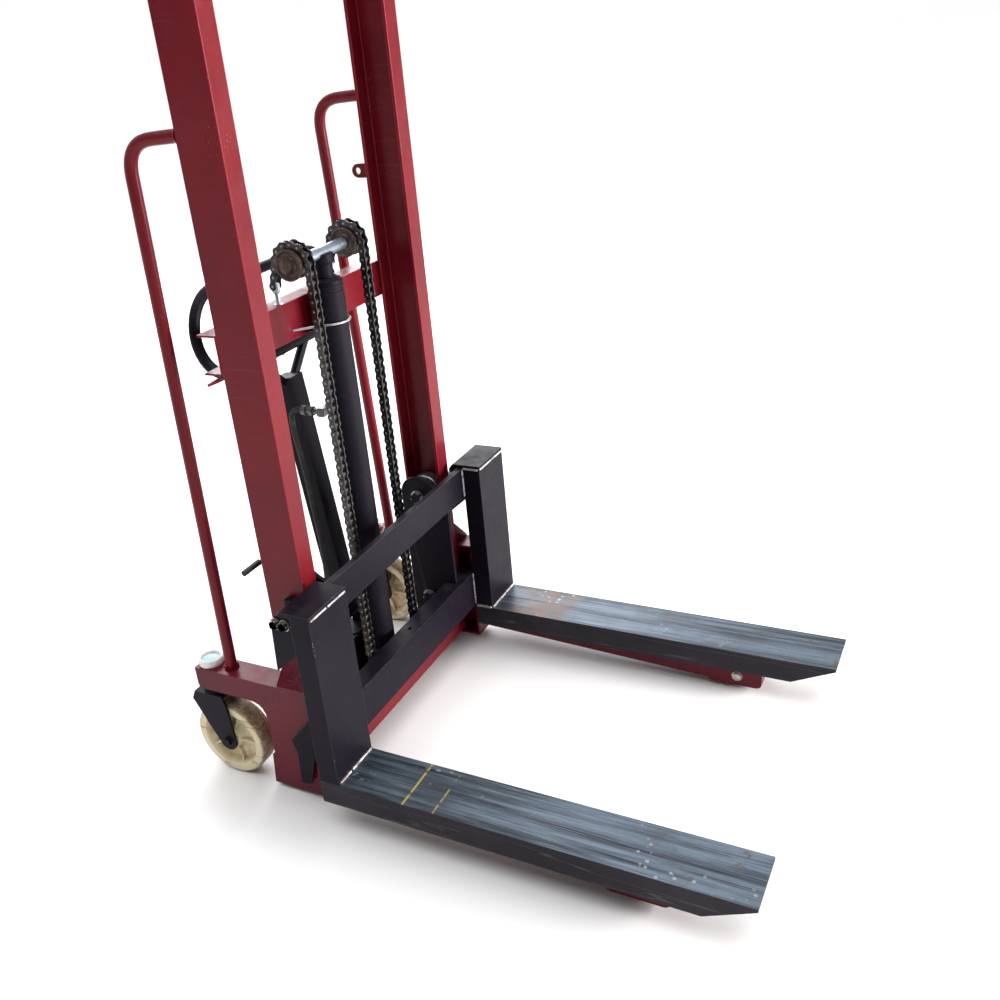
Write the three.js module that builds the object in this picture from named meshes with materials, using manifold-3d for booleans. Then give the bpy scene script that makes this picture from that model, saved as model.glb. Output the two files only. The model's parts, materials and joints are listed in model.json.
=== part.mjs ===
// Hand hydraulic stacker: a fixed two-channel mast on straddle legs, a chain-lifted fork carriage,
// a single-acting lift cylinder, a hand pump worked by a tiller and a foot pedal, and two rear casters.
//
// Frame: millimetres, +Z up, floor at z = 0, forks towards -Y, x = 0 on the centre plane.
// The right-hand side of an operator at the rear, facing the forks, is -X (side = -1).

import * as THREE from 'three';
import { mergeVertices } from 'three/addons/utils/BufferGeometryUtils.js';
import Module from 'manifold-3d';

const wasm = await Module();
wasm.setup();

// ---- Driving dimensions --------------------------------------------------------------------

const GAP = 0.3;                 // between touching pieces
const WALL = 6;                  // plate of the welded base

// Mast
const MAST_TOP = 2060;
const MAST_OUT = 322.5;          // outer face of each channel
const MAST_WIDTH = 48;           // flange length
const MAST_T = 8;
const MAST_FRONT = 303;
const MAST_DEPTH = 100;
const MAST_REAR = MAST_FRONT + MAST_DEPTH;
const MAST_MID = MAST_FRONT + MAST_DEPTH / 2;

// Base
const CROSS_BOTTOM = 30;
const CROSS_TOP = 88;
const SIDE_OUT = 381;
const SIDE_IN = MAST_OUT + GAP * 2;
const ARM_TOP = 281;
const ARM_BOTTOM = 226;
const ARM_REAR = 607;

// Beams between the masts
const BEAM_BOTTOM = 959;
const BEAM_TOP = 1040;
const BEAM_DEPTH = 46;
const TOP_BEAM_HEIGHT = 50;

// Outrigger legs
const LEG_IN = 322;
const LEG_OUT = 402;
const LEG_TIP = -481;
const LEG_STEP = -357;
const LEG_HEEL = 261.5;
const LEG_SLOPE = 0.05;
const LEG_LOW = 19;              // lower edge at LEG_STEP
const LEG_HEIGHT = 40;
const ROLLER_R = 37;
const ROLLER_Y = -424;

// Casters
const CASTER_X = 350;
const PIVOT_Y = 582;
const WHEEL_Y = 553;
const WHEEL_R = 93;
const WHEEL_W = 50;
const HEAD_Z = 216;              // top of the swivel fork's crown

// Carriage and forks
const FORK_IN = 307;
const FORK_OUT = 440;
const FORK_TIP = -645;
const FORK_TOP = 114;
const FORK_HEIGHT = 55;
const FORK_T = 7;
const UP_FRONT = 207;
const UP_DEPTH = 48;
const UP_TOP = 520;
const UP_REAR = UP_FRONT + UP_DEPTH;
const PLATE_IN = 240;
const PLATE_T = 10;
const ROLL_Z = [165, 451];
const CHANNEL_ROLLER_R = 41.6;

// Lift cylinder, ram and chains
const CYL_Y = 361;
const CYL_R = 36.5;
const CYL_BORE = 28;
const GLAND_TOP = 1074;
const RAM_R = 20;
const AXLE_Z = 1124;
const AXLE_R = 12.5;
const CHAIN_X = 99;
const PITCH = 19.05;
const PITCHES = 13;              // chain pitches in one turn of a pulley
const PITCH_R = PITCH / 2 / Math.sin(Math.PI / PITCHES);
const CHAIN_FRONT = CYL_Y - PITCH_R;
const ANCHOR_Y = 414.8;
const CHAIN_W = 21;
const CHAIN_H = 18;
const FRONT_END_Z = 205;         // lowest pin of the front run
const REAR_END_Z = 1079;         // lowest pin of the rear run
const ANCHOR_REACH = Math.hypot(ANCHOR_Y - CYL_Y, REAR_END_Z - AXLE_Z);
// where the rear run leaves the pulley, as an angle above the horizontal
const LEAVE = Math.atan2(REAR_END_Z - AXLE_Z, ANCHOR_Y - CYL_Y) + Math.acos(PITCH_R / ANCHOR_REACH);

// Pump and tiller
const TILLER_Y = 443;
const TILLER_Z = 250;
const LEAN = 0.103;              // rearward lean, mm per mm of height
const TUBE = 48;
const JUNCTION_UP = 600;         // tube length from the pivot to the Y joint
const LOOP_UP = 752;             // pivot to the centre of the hand loop
const LOOP_HALF = 250;
const LOOP_R = 92;               // rounding of the loop's ends
const LOOP_TUBE = 12;
const PLUNGER_Y = TILLER_Y + 35;
const PLUNGER_TOP = TILLER_Z - 13.5;
const GUIDE_TOP = 193;
const TANK_TOP = 192.5;
const CAM_HALF = 12;
const PORT_Z = 791;              // hose port on the cylinder
const PEDAL_Y = 508;
const PEDAL_Z = 96;
const PEDAL_PIN_R = 8;

// ---- Solids ----------------------------------------------------------------------------------

function solid(geometry) {
  const bare = geometry.index ? geometry : geometry.clone();
  bare.deleteAttribute('normal');
  bare.deleteAttribute('uv');
  const merged = mergeVertices(bare, 1e-4);
  return new wasm.Manifold(new wasm.Mesh({
    numProp: 3,
    vertProperties: new Float32Array(merged.attributes.position.array),
    triVerts: new Uint32Array(merged.index.array),
  }));
}

function geometryOf(manifold) {
  const mesh = manifold.getMesh();
  const geometry = new THREE.BufferGeometry();
  geometry.setAttribute('position', new THREE.BufferAttribute(new Float32Array(mesh.vertProperties), 3));
  geometry.setIndex(new THREE.BufferAttribute(new Uint32Array(mesh.triVerts), 1));
  return geometry;
}

const join = (first, ...others) => others.reduce((a, b) => a.add(b), first);
const cut = (first, ...others) => others.reduce((a, b) => a.subtract(b), first);

// A block between two x, two y and two z values, in any order.
function block(xa, xb, ya, yb, za, zb) {
  const geometry = new THREE.BoxGeometry(Math.abs(xb - xa), Math.abs(yb - ya), Math.abs(zb - za));
  geometry.translate((xa + xb) / 2, (ya + yb) / 2, (za + zb) / 2);
  return solid(geometry);
}

// A round bar along one axis, from a to b, centred on the two other coordinates in x, y, z order.
function bar(axis, radius, a, b, c1, c2, sides = 16) {
  const geometry = new THREE.CylinderGeometry(radius, radius, Math.abs(b - a), sides);
  const mid = (a + b) / 2;
  if (axis === 'x') geometry.rotateZ(Math.PI / 2).translate(mid, c1, c2);
  if (axis === 'y') geometry.translate(c1, mid, c2);
  if (axis === 'z') geometry.rotateX(Math.PI / 2).translate(c1, c2, mid);
  return solid(geometry);
}

// A turned piece: profile points are [radius, height] about an axis along x or z.
function turned(axis, profile, a, c1, c2, sides = 24) {
  const points = profile.map(([r, h]) => new THREE.Vector2(r, h));
  const geometry = new THREE.LatheGeometry(points, sides);
  if (axis === 'x') {
    geometry.rotateZ(-Math.PI / 2).translate(a, c1, c2);
  } else {
    geometry.rotateX(Math.PI / 2).translate(c1, c2, a);
  }
  const result = solid(geometry);
  return result.volume() < 0 ? solid(reversed(geometry)) : result;
}

function reversed(geometry) {
  const index = geometry.index.array;
  for (let i = 0; i < index.length; i += 3) {
    [index[i], index[i + 1]] = [index[i + 1], index[i]];
  }
  return geometry;
}

// A plate with its outline in y and z, between two x values.
function plateYZ(outline, xa, xb) {
  const shape = outline instanceof THREE.Shape ? outline
    : new THREE.Shape(outline.map(([y, z]) => new THREE.Vector2(y, z)));
  const geometry = new THREE.ExtrudeGeometry(shape, {
    depth: Math.abs(xb - xa), bevelEnabled: false, curveSegments: 6,
  });
  geometry.applyMatrix4(new THREE.Matrix4().set(
    0, 0, 1, Math.min(xa, xb),
    1, 0, 0, 0,
    0, 1, 0, 0,
    0, 0, 0, 1,
  ));
  return solid(geometry);
}

// A round tube or rod along straight runs whose corners are rounded off.
function bent(points, radius, corner, steps, sides = 12) {
  const path = new THREE.CurvePath();
  let from = points[0];
  for (let i = 1; i < points.length - 1; i += 1) {
    const here = points[i];
    const room = Math.min(corner, here.distanceTo(points[i - 1]) * 0.49, here.distanceTo(points[i + 1]) * 0.49);
    const into = here.clone().add(points[i - 1].clone().sub(here).setLength(room));
    const out = here.clone().add(points[i + 1].clone().sub(here).setLength(room));
    path.add(new THREE.LineCurve3(from, into));
    path.add(new THREE.QuadraticBezierCurve3(into, here, out));
    from = out;
  }
  path.add(new THREE.LineCurve3(from, points.at(-1)));
  return swept(path, radius, steps, sides);
}

function swept(path, radius, steps, sides) {
  const ring = [];
  for (let i = 0; i < sides; i += 1) {
    const angle = (i / sides) * Math.PI * 2;
    ring.push(new THREE.Vector2(radius * Math.cos(angle), radius * Math.sin(angle)));
  }
  const geometry = new THREE.ExtrudeGeometry(new THREE.Shape(ring), { steps, extrudePath: path });
  return solid(geometry);
}

const at = (x, y, z) => new THREE.Vector3(x, y, z);

// A hexagon head or nut on an x axis.
const hexX = (size, xa, xb, y, z) => bar('x', size / Math.sqrt(3), xa, xb, y, z, 6);

// ---- Finishes --------------------------------------------------------------------------------

const finish = (color, roughness, metalness) => new THREE.MeshStandardMaterial({ color, roughness, metalness });
const RED = finish(0x8f2130, 0.45, 0.1);
const BLACK = finish(0x23202a, 0.4, 0.2);
const STEEL = finish(0x9aa3ad, 0.3, 0.9);
const OILY = finish(0x1d1a1c, 0.35, 0.7);
const NYLON = finish(0xd8c79a, 0.6, 0);
const RUBBER = finish(0x151416, 0.8, 0);
const CAP = finish(0xcfe3e6, 0.5, 0);

const stacker = new THREE.Group();

function piece(name, body, material) {
  const mesh = new THREE.Mesh(geometryOf(body), material);
  mesh.name = name;
  stacker.add(mesh);
}

const SIDES = [['right', -1], ['left', 1]];

// ---- Mast and base ---------------------------------------------------------------------------

function mastChannel(side) {
  const inner = MAST_OUT - MAST_WIDTH;
  const body = cut(
    block(side * inner, side * MAST_OUT, MAST_FRONT, MAST_REAR, CROSS_TOP + GAP, MAST_TOP),
    block(side * (inner - 1), side * (MAST_OUT - MAST_T),
      MAST_FRONT + MAST_T, MAST_REAR - MAST_T, CROSS_TOP, MAST_TOP + 1),
  );
  if (side < 0) return body;
  // strap lug with an eye, welded to the back of the left mast
  const lugZ = 1240;
  const lug = cut(
    join(block(300, 308, MAST_REAR - 1, 440, lugZ - 16, lugZ + 16), bar('x', 16, 300, 308, 440, lugZ)),
    bar('x', 7, 299, 309, 440, lugZ, 16),
  );
  return join(body, lug);
}

function topBeam() {
  const half = MAST_OUT - MAST_WIDTH - GAP;
  const low = MAST_TOP - TOP_BEAM_HEIGHT;
  return cut(
    block(-half, half, MAST_FRONT, MAST_REAR, low, MAST_TOP),
    block(-half - 1, half + 1, MAST_FRONT + WALL, MAST_REAR - WALL, low - 1, MAST_TOP - WALL),
  );
}

function midBeam() {
  const half = MAST_OUT;
  const front = MAST_REAR + GAP;
  const web = 4.5;
  return cut(
    block(-half, half, front, front + BEAM_DEPTH, BEAM_BOTTOM, BEAM_TOP),
    block(-half - 1, half + 1, front + web, front + BEAM_DEPTH + 1, BEAM_BOTTOM + web, BEAM_TOP - web),
    bar('z', 6, BEAM_TOP - web - 1, BEAM_TOP + 1, -CHAIN_X, ANCHOR_Y),
    bar('z', 6, BEAM_TOP - web - 1, BEAM_TOP + 1, CHAIN_X, ANCHOR_Y),
  );
}

function baseCrossmember() {
  const half = MAST_OUT;
  const shell = cut(
    block(-half, half, MAST_FRONT, MAST_REAR, CROSS_BOTTOM, CROSS_TOP),
    block(-half + WALL, half - WALL, MAST_FRONT + WALL, MAST_REAR - WALL, CROSS_BOTTOM - 1, CROSS_TOP - WALL),
  );
  // shelf behind the crossmember that carries the pump
  return join(shell, block(-90, 90, MAST_REAR - 1, 512, CROSS_BOTTOM + 12, CROSS_BOTTOM + 24));
}

// Outline of a base side in y and z: the lower box, the wheel arch and the caster arm.
function sideOutline(inset) {
  const shape = new THREE.Shape();
  const front = 262 + inset;
  const heelRear = 436 - inset;
  const neckRear = 421 - inset;
  const archTop = ARM_BOTTOM + 3 + inset;
  shape.moveTo(front, 10 + inset);
  shape.lineTo(heelRear, 10 + inset);
  shape.lineTo(heelRear - 8, 90 - inset);
  shape.lineTo(neckRear, 90 - inset);
  shape.lineTo(neckRear, 168);
  shape.bezierCurveTo(neckRear, 208, neckRear + 8, archTop - 3, 466, archTop - 2);
  shape.lineTo(ARM_REAR - inset - 20, ARM_BOTTOM + inset);
  shape.absarc(ARM_REAR - inset - 14, ARM_BOTTOM + inset + 14, 14, -Math.PI / 2, 0, false);
  shape.lineTo(ARM_REAR - inset, ARM_TOP - inset);
  shape.lineTo(front, ARM_TOP - inset);
  shape.closePath();
  return shape;
}

function baseSide(side) {
  const inner = side * SIDE_IN;
  const outer = side * SIDE_OUT;
  const open = cut(
    plateYZ(sideOutline(0), inner, outer),
    plateYZ(sideOutline(WALL), side * (SIDE_IN + WALL), side * (SIDE_OUT - WALL)),
    block(side * (SIDE_IN - 1), side * (SIDE_IN + WALL + 1), 262 + WALL, MAST_REAR - 6, 16, ARM_TOP - WALL),
  );
  // sloping gusset from the box up to the mast's outer face
  const gusset = plateXZ([[SIDE_IN, ARM_TOP - 1], [SIDE_OUT, ARM_TOP - 1], [SIDE_OUT, ARM_TOP + 4],
    [SIDE_IN, ARM_TOP + 62]], side, MAST_FRONT, MAST_REAR - 26);
  // solid bearing block at the arm's end
  const housing = block(side * (SIDE_IN + 2), side * (SIDE_OUT - 2), PIVOT_Y - 30, ARM_REAR - 4,
    ARM_BOTTOM + 12, ARM_TOP - 1);
  return cut(join(open, gusset, housing),
    bar('z', 13, ARM_BOTTOM - 2, ARM_TOP + 1, side * CASTER_X, PIVOT_Y));
}

// A block with its outline in x (outwards) and z, between two y values.
function plateXZ(outline, side, ya, yb) {
  const shape = new THREE.Shape(outline.map(([x, z]) => new THREE.Vector2(side * x, z)));
  const geometry = new THREE.ExtrudeGeometry(shape, { depth: yb - ya, bevelEnabled: false });
  geometry.applyMatrix4(new THREE.Matrix4().set(
    1, 0, 0, 0,
    0, 0, -1, yb,
    0, 1, 0, 0,
    0, 0, 0, 1,
  ));
  return solid(geometry);
}

function legOutline() {
  const low = (y) => LEG_LOW + LEG_SLOPE * (y - LEG_STEP);
  const tipLow = low(LEG_TIP) - 2;
  const shape = new THREE.Shape();
  shape.moveTo(LEG_HEEL, low(LEG_HEEL));
  shape.lineTo(LEG_HEEL, low(LEG_HEEL) + LEG_HEIGHT);
  shape.lineTo(LEG_TIP, low(LEG_TIP) + LEG_HEIGHT);
  shape.lineTo(LEG_TIP, tipLow + 16);
  shape.quadraticCurveTo(LEG_TIP, tipLow, LEG_TIP + 16, tipLow);
  shape.lineTo(LEG_STEP - 9, low(LEG_STEP) - 8);
  shape.lineTo(LEG_STEP + 6, low(LEG_STEP));
  shape.closePath();
  return shape;
}

function leg(side) {
  const below = plateYZ([[LEG_TIP + 6, -20], [LEG_HEEL + 1, 20], [LEG_HEEL + 1, 83], [LEG_TIP + 6, 46.8]],
    side * (LEG_IN + WALL), side * (LEG_OUT - WALL));
  return cut(
    plateYZ(legOutline(), side * LEG_IN, side * LEG_OUT),
    below,
    block(side * (LEG_IN + 10), side * (LEG_OUT - 10), ROLLER_Y - 42, ROLLER_Y + 42, 20, 80),
    bar('x', 8.3, side * (LEG_IN - 1), side * (LEG_OUT + 1), ROLLER_Y, ROLLER_R),
  );
}

function loadRoller(side) {
  const half = 25;
  const inner = 9.5;
  const profile = [[inner, -half], [ROLLER_R - 3, -half], [ROLLER_R, -half + 4], [ROLLER_R, half - 4],
    [ROLLER_R - 3, half], [inner, half], [inner, -half]];
  return turned('x', profile, side * (LEG_IN + LEG_OUT) / 2, ROLLER_Y, ROLLER_R, 24);
}

function loadAxle(side) {
  return join(
    bar('x', 8, side * (LEG_IN - 4), side * (LEG_OUT + 5), ROLLER_Y, ROLLER_R),
    hexX(19, side * (LEG_IN - 8), side * (LEG_IN - GAP), ROLLER_Y, ROLLER_R),
    hexX(19, side * (LEG_OUT + GAP), side * (LEG_OUT + 7), ROLLER_Y, ROLLER_R),
  );
}

function guardHoop(side) {
  const foot = at(side * CASTER_X, 528, ARM_TOP + GAP);
  const knee = at(side * 310, 534, 1398);
  const weld = at(side * 306, MAST_REAR + GAP, 1402);
  return cut(
    bent([foot, knee, weld], 13, 95, 20, 8),
    block(side * 280, side * 400, MAST_REAR - 20, MAST_REAR + GAP, 1350, 1450),
    block(side * 320, side * 400, 490, 560, ARM_TOP - 10, ARM_TOP + GAP),
  );
}

for (const [name, side] of SIDES) {
  piece(`mast_channel_${name}`, mastChannel(side), RED);
  piece(`base_side_${name}`, baseSide(side), RED);
  piece(`outrigger_leg_${name}`, leg(side), RED);
  piece(`load_roller_${name}`, loadRoller(side), NYLON);
  piece(`load_roller_axle_${name}`, loadAxle(side), STEEL);
  piece(`guard_hoop_${name}`, guardHoop(side), RED);
}
piece('top_beam', topBeam(), RED);
piece('mid_beam', midBeam(), RED);
piece('base_crossmember', baseCrossmember(), RED);

// ---- Casters ---------------------------------------------------------------------------------

function casterCap(side) {
  const profile = [[0, 0], [28, 0], [29, 4], [28, 12], [24, 16], [22, 14.5], [0, 14.5]];
  return turned('z', profile, ARM_TOP + GAP, side * CASTER_X, PIVOT_Y, 24);
}

function casterFork(side) {
  const x = side * CASTER_X;
  const legGap = WHEEL_W / 2 + 3.5;
  const cheek = () => {
    const shape = new THREE.Shape();
    shape.moveTo(PIVOT_Y + 39.8, HEAD_Z - 0.2);
    shape.lineTo(PIVOT_Y - 37.8, HEAD_Z - 0.2);
    shape.lineTo(PIVOT_Y - 45, HEAD_Z - 24);
    shape.absarc(WHEEL_Y, WHEEL_R, 24, Math.PI * 1.06, Math.PI * 1.88, false);
    shape.lineTo(PIVOT_Y + 50, HEAD_Z - 22);
    shape.closePath();
    return shape;
  };
  const crown = block(x - legGap - 6, x + legGap + 6, PIVOT_Y - 38, PIVOT_Y + 40, HEAD_Z - 7, HEAD_Z);
  const race = turned('z', [[0, 0], [31, 0], [31, 4], [27, 7.5], [12, 7.5], [12, 46], [0, 46]],
    HEAD_Z - 1, x, PIVOT_Y, 20);
  return join(
    crown,
    race,
    plateYZ(cheek(), x - legGap - 6, x - legGap),
    plateYZ(cheek(), x + legGap, x + legGap + 6),
    bar('x', 7.5, x - legGap - 12, x + legGap + 12, WHEEL_Y, WHEEL_R),
    hexX(19, x - legGap - 14, x - legGap - 5, WHEEL_Y, WHEEL_R),
    hexX(19, x + legGap + 5, x + legGap + 14, WHEEL_Y, WHEEL_R),
  );
}

function casterWheel(side) {
  const half = WHEEL_W / 2;
  const web = 8;
  const hub = 26;
  const rim = 68;
  const bore = 7.9;
  const outer = [[bore, -half], [hub, -half], [hub - 1, -web], [rim - 4, -web], [rim, -half],
    [WHEEL_R - 6, -half], [WHEEL_R, -half + 7], [WHEEL_R, half - 7], [WHEEL_R - 6, half],
    [rim, half], [rim - 4, web], [hub - 1, web], [hub, half], [bore, half], [bore, -half]];
  let body = turned('x', outer, side * CASTER_X, WHEEL_Y, WHEEL_R);
  const ribs = 5;
  for (let i = 0; i < ribs; i += 1) {
    const angle = (i / ribs) * Math.PI * 2 + 0.4;
    const rib = new THREE.BoxGeometry(WHEEL_W - 12, 5, rim - hub + 6);
    rib.translate(0, 0, (rim + hub) / 2 - 1).rotateX(angle).translate(side * CASTER_X, WHEEL_Y, WHEEL_R);
    body = join(body, solid(rib));
  }
  return body;
}

for (const [name, side] of SIDES) {
  piece(`caster_cap_${name}`, casterCap(side), CAP);
  piece(`caster_fork_${name}`, casterFork(side), BLACK);
  piece(`caster_wheel_${name}`, casterWheel(side), NYLON);
}

// ---- Lift cylinder, ram and chains -----------------------------------------------------------

function cylinderBarrel() {
  const low = CROSS_TOP + GAP;
  const high = GLAND_TOP - 30;
  const profile = [[0, low], [CYL_R + 6, low], [CYL_R + 6, low + 18], [CYL_R, low + 18], [CYL_R, high],
    [CYL_BORE, high], [CYL_BORE, low + 30], [0, low + 30]];
  const port = join(
    bar('x', 9, -CYL_R - 6, -CYL_R + 8, CYL_Y + 18, PORT_Z, 16),
    bar('x', 4, -CYL_R - 6, -CYL_R + 6, CYL_Y, 872, 12),
  );
  return join(turned('z', profile, 0, 0, CYL_Y, 24), port);
}

function cylinderGland() {
  const low = GLAND_TOP - 30 + GAP;
  const bore = RAM_R + 0.4;
  const profile = [[bore, low], [CYL_R - 1, low], [CYL_R - 1, low + 6], [CYL_R + 0.5, low + 8],
    [CYL_R + 0.5, GLAND_TOP - 10], [CYL_R - 3, GLAND_TOP - 5], [RAM_R + 7, GLAND_TOP], [bore, GLAND_TOP],
    [bore, low]];
  return turned('z', profile, 0, 0, CYL_Y, 24);
}

function cylinderClamp() {
  const z = 979;
  const r = CYL_R + 4.2;
  const points = [at(-84, MAST_REAR - 1.7, z), at(-52, 370, z)];
  for (let i = 0; i <= 8; i += 1) {
    const angle = Math.PI * (1.12 + (0.82 * i) / 8);
    points.push(at(r * Math.cos(angle), CYL_Y + r * Math.sin(angle), z));
  }
  points.push(at(r + 1, CYL_Y + 14, z), at(46, MAST_REAR - 1.7, z));
  return swept(new THREE.CatmullRomCurve3(points, false, 'centripetal'), 2.6, 24, 6);
}

// The ram's widened head is a saddle with the axle lying in it.
function ram() {
  const headR = 24;
  const headHeight = 24;
  return cut(
    join(
      bar('z', RAM_R, CROSS_TOP + 34, AXLE_Z - 16, 0, CYL_Y, 24),
      bar('z', headR, AXLE_Z - headHeight, AXLE_Z - 2, 0, CYL_Y, 24),
    ),
    bar('x', AXLE_R + 2 * GAP, -40, 40, CYL_Y, AXLE_Z),
  );
}

const crossheadAxle = () => join(
  bar('x', AXLE_R, -CHAIN_X - 21, CHAIN_X + 21, CYL_Y, AXLE_Z),
  bar('x', AXLE_R + 5, -CHAIN_X - 24, -CHAIN_X - 20, CYL_Y, AXLE_Z),
  bar('x', AXLE_R + 5, CHAIN_X + 20, CHAIN_X + 24, CYL_Y, AXLE_Z),
);

// Plain grooved pulley: the chain's plates ride on its rim between two low flanges.
function pulley(side) {
  const rim = PITCH_R - CHAIN_H / 2 - GAP;
  const flange = rim + 2;
  const groove = CHAIN_W / 2 + 2 * GAP;
  const x = side * CHAIN_X;
  return cut(
    join(
      bar('x', rim, x - groove - 1, x + groove + 1, CYL_Y, AXLE_Z, 32),
      bar('x', flange, side * (CHAIN_X - 16), side * (CHAIN_X - groove), CYL_Y, AXLE_Z, 32),
      bar('x', flange, side * (CHAIN_X + groove), side * (CHAIN_X + 19), CYL_Y, AXLE_Z, 32),
    ),
    bar('x', AXLE_R + GAP, x - 30, x + 30, CYL_Y, AXLE_Z),
  );
}

// The chain's wrap over the top of a pulley.
function chainWrap(side) {
  const inner = PITCH_R - CHAIN_H / 2 + GAP;
  const outer = PITCH_R + CHAIN_H / 2;
  const slit = 0.02;
  const shape = new THREE.Shape();
  shape.absarc(CYL_Y, AXLE_Z, outer, LEAVE + slit, Math.PI - slit, false);
  shape.absarc(CYL_Y, AXLE_Z, inner, Math.PI - slit, LEAVE + slit, true);
  shape.closePath();
  const geometry = new THREE.ExtrudeGeometry(shape, { depth: CHAIN_W, bevelEnabled: false, curveSegments: 14 });
  geometry.applyMatrix4(new THREE.Matrix4().set(
    0, 0, 1, side * CHAIN_X - CHAIN_W / 2,
    1, 0, 0, 0,
    0, 1, 0, 0,
    0, 0, 0, 1,
  ));
  return solid(geometry);
}

function chainFront(side) {
  const x = side * CHAIN_X;
  return block(x - CHAIN_W / 2, x + CHAIN_W / 2, CHAIN_FRONT - CHAIN_H / 2, CHAIN_FRONT + CHAIN_H / 2 - GAP,
    FRONT_END_Z + 12, AXLE_Z - 1);
}

// The rear run leans back from the pulley to its anchor.
function chainRear(side) {
  const low = REAR_END_Z + 8;
  const slope = Math.tan(LEAVE);
  const edge = (radius) => {
    const y = CYL_Y + radius * Math.cos(LEAVE) + 0.01;
    const z = AXLE_Z + radius * Math.sin(LEAVE) - 1;
    return [[y, z], [y + (z - low) * slope, low]];
  };
  const [innerTop, innerLow] = edge(PITCH_R - CHAIN_H / 2 + GAP);
  const [outerTop, outerLow] = edge(PITCH_R + CHAIN_H / 2);
  const x = side * CHAIN_X;
  return plateYZ([innerTop, innerLow, outerLow, outerTop], x - CHAIN_W / 2, x + CHAIN_W / 2);
}

// Anchor bolt through the mid beam with a fork end that holds the rear run's last pin.
function chainAnchor(side) {
  const x = side * CHAIN_X;
  const y = ANCHOR_Y;
  return join(
    bar('z', 5.4, BEAM_TOP - 28, REAR_END_Z - 14, x, y, 16),
    block(x - 6.5, x + 6.5, y - 8, y + 8, REAR_END_Z - 16, REAR_END_Z + 6),
    bar('z', 6.7, BEAM_TOP - 17, BEAM_TOP - 5, x, y, 6),
  );
}

piece('cylinder_barrel', cylinderBarrel(), BLACK);
piece('cylinder_gland', cylinderGland(), BLACK);
piece('cylinder_clamp', cylinderClamp(), STEEL);
piece('lift_ram', ram(), BLACK);
piece('crosshead_axle', crossheadAxle(), STEEL);
for (const [name, side] of SIDES) {
  piece(`chain_pulley_${name}`, pulley(side), OILY);
  piece(`chain_wrap_${name}`, chainWrap(side), OILY);
  piece(`chain_front_${name}`, chainFront(side), OILY);
  piece(`chain_rear_${name}`, chainRear(side), OILY);
  piece(`chain_anchor_${name}`, chainAnchor(side), STEEL);
}

// ---- Carriage and forks ----------------------------------------------------------------------

function fork(side) {
  const low = FORK_TOP - FORK_HEIGHT;
  const chamfer = -548;
  const nose = 7;
  // the top steps down by one gap under the upright, which stands on it
  const outline = [[UP_REAR, low], [UP_REAR, FORK_TOP - GAP], [UP_FRONT - GAP, FORK_TOP - GAP],
    [UP_FRONT - GAP, FORK_TOP], [FORK_TIP, FORK_TOP], [FORK_TIP, FORK_TOP - nose], [chamfer, low]];
  const hollow = [[UP_REAR + 1, low - 1], [UP_REAR + 1, FORK_TOP - FORK_T], [FORK_TIP + 34, FORK_TOP - FORK_T],
    [chamfer + 14, low - 1]];
  return cut(
    plateYZ(outline, side * FORK_IN, side * FORK_OUT),
    plateYZ(hollow, side * (FORK_IN + FORK_T), side * (FORK_OUT - FORK_T)),
  );
}

// Box upright with its cap plate and the stepped side plate welded behind it.
function upright(side) {
  const low = FORK_TOP;
  const wall = 5;
  const capT = 8;
  const box = cut(
    block(side * FORK_IN, side * FORK_OUT, UP_FRONT, UP_REAR, low, UP_TOP - capT),
    block(side * (FORK_IN + wall), side * (FORK_OUT - wall), UP_FRONT + wall, UP_REAR - wall,
      low - 1, UP_TOP - capT - wall),
  );
  const cap = block(side * FORK_IN, side * FORK_OUT, UP_FRONT, UP_REAR + 27, UP_TOP - capT - 1, UP_TOP);
  const stepped = plateYZ([[UP_REAR - 1, 120], [300, 118], [322, 46], [349, 43], [344, 126], [354, 158],
    [302, 216], [UP_REAR - 1, 240]], side * 386, side * 394);
  return join(box, cap, stepped);
}

function upperCrossbar() {
  const end = 330;
  const bottom = 432;
  return block(-end, end, UP_REAR + GAP, UP_REAR + 15, bottom, UP_TOP - 8 - 1 - GAP);
}

function lowerCrossbar() {
  const end = 320;
  const front = UP_REAR + GAP;
  const rear = 300.5;
  const wall = 6;
  let body = cut(
    block(-end, end, front, rear, 117, 214),
    block(-end - 1, end + 1, front + wall, rear - wall, 117 + wall, 214 - wall),
    bar('z', 5, 200, 220, 12, 279, 14),
  );
  for (const side of [-1, 1]) {
    const x = side * CHAIN_X;
    // lug behind the bar that holds the front run's last pin
    body = join(body, block(x - 20, x + 20, rear - 1, 312, 150, 196),
      block(x - 6.5, x + 6.5, rear + 1, CHAIN_FRONT + 8, 170, FRONT_END_Z + 7));
  }
  return body;
}

// Side plate that runs between the masts, with the stub axles of its two rollers.
function innerPlate(side) {
  const shape = new THREE.Shape();
  shape.moveTo(301, 106);
  shape.lineTo(397, 106);
  shape.lineTo(399, ROLL_Z[1] - 20);
  shape.absarc(MAST_MID, ROLL_Z[1] + 8, 46, 0, Math.PI * 0.75, false);
  shape.lineTo(UP_REAR + 15 + GAP, ROLL_Z[1] + 14);
  shape.lineTo(UP_REAR + 15 + GAP, 214.5);
  shape.lineTo(301, 214.5);
  shape.closePath();
  let body = plateYZ(shape, side * PLATE_IN, side * (PLATE_IN + PLATE_T));
  for (const z of ROLL_Z) {
    body = join(body,
      bar('x', 12, side * (PLATE_IN - 3), side * 308, MAST_MID, z),
      bar('x', 18, side * (PLATE_IN + PLATE_T - 1), side * 277, MAST_MID, z),
      hexX(26, side * (PLATE_IN - 12), side * (PLATE_IN + 1), MAST_MID, z));
  }
  return body;
}

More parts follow.
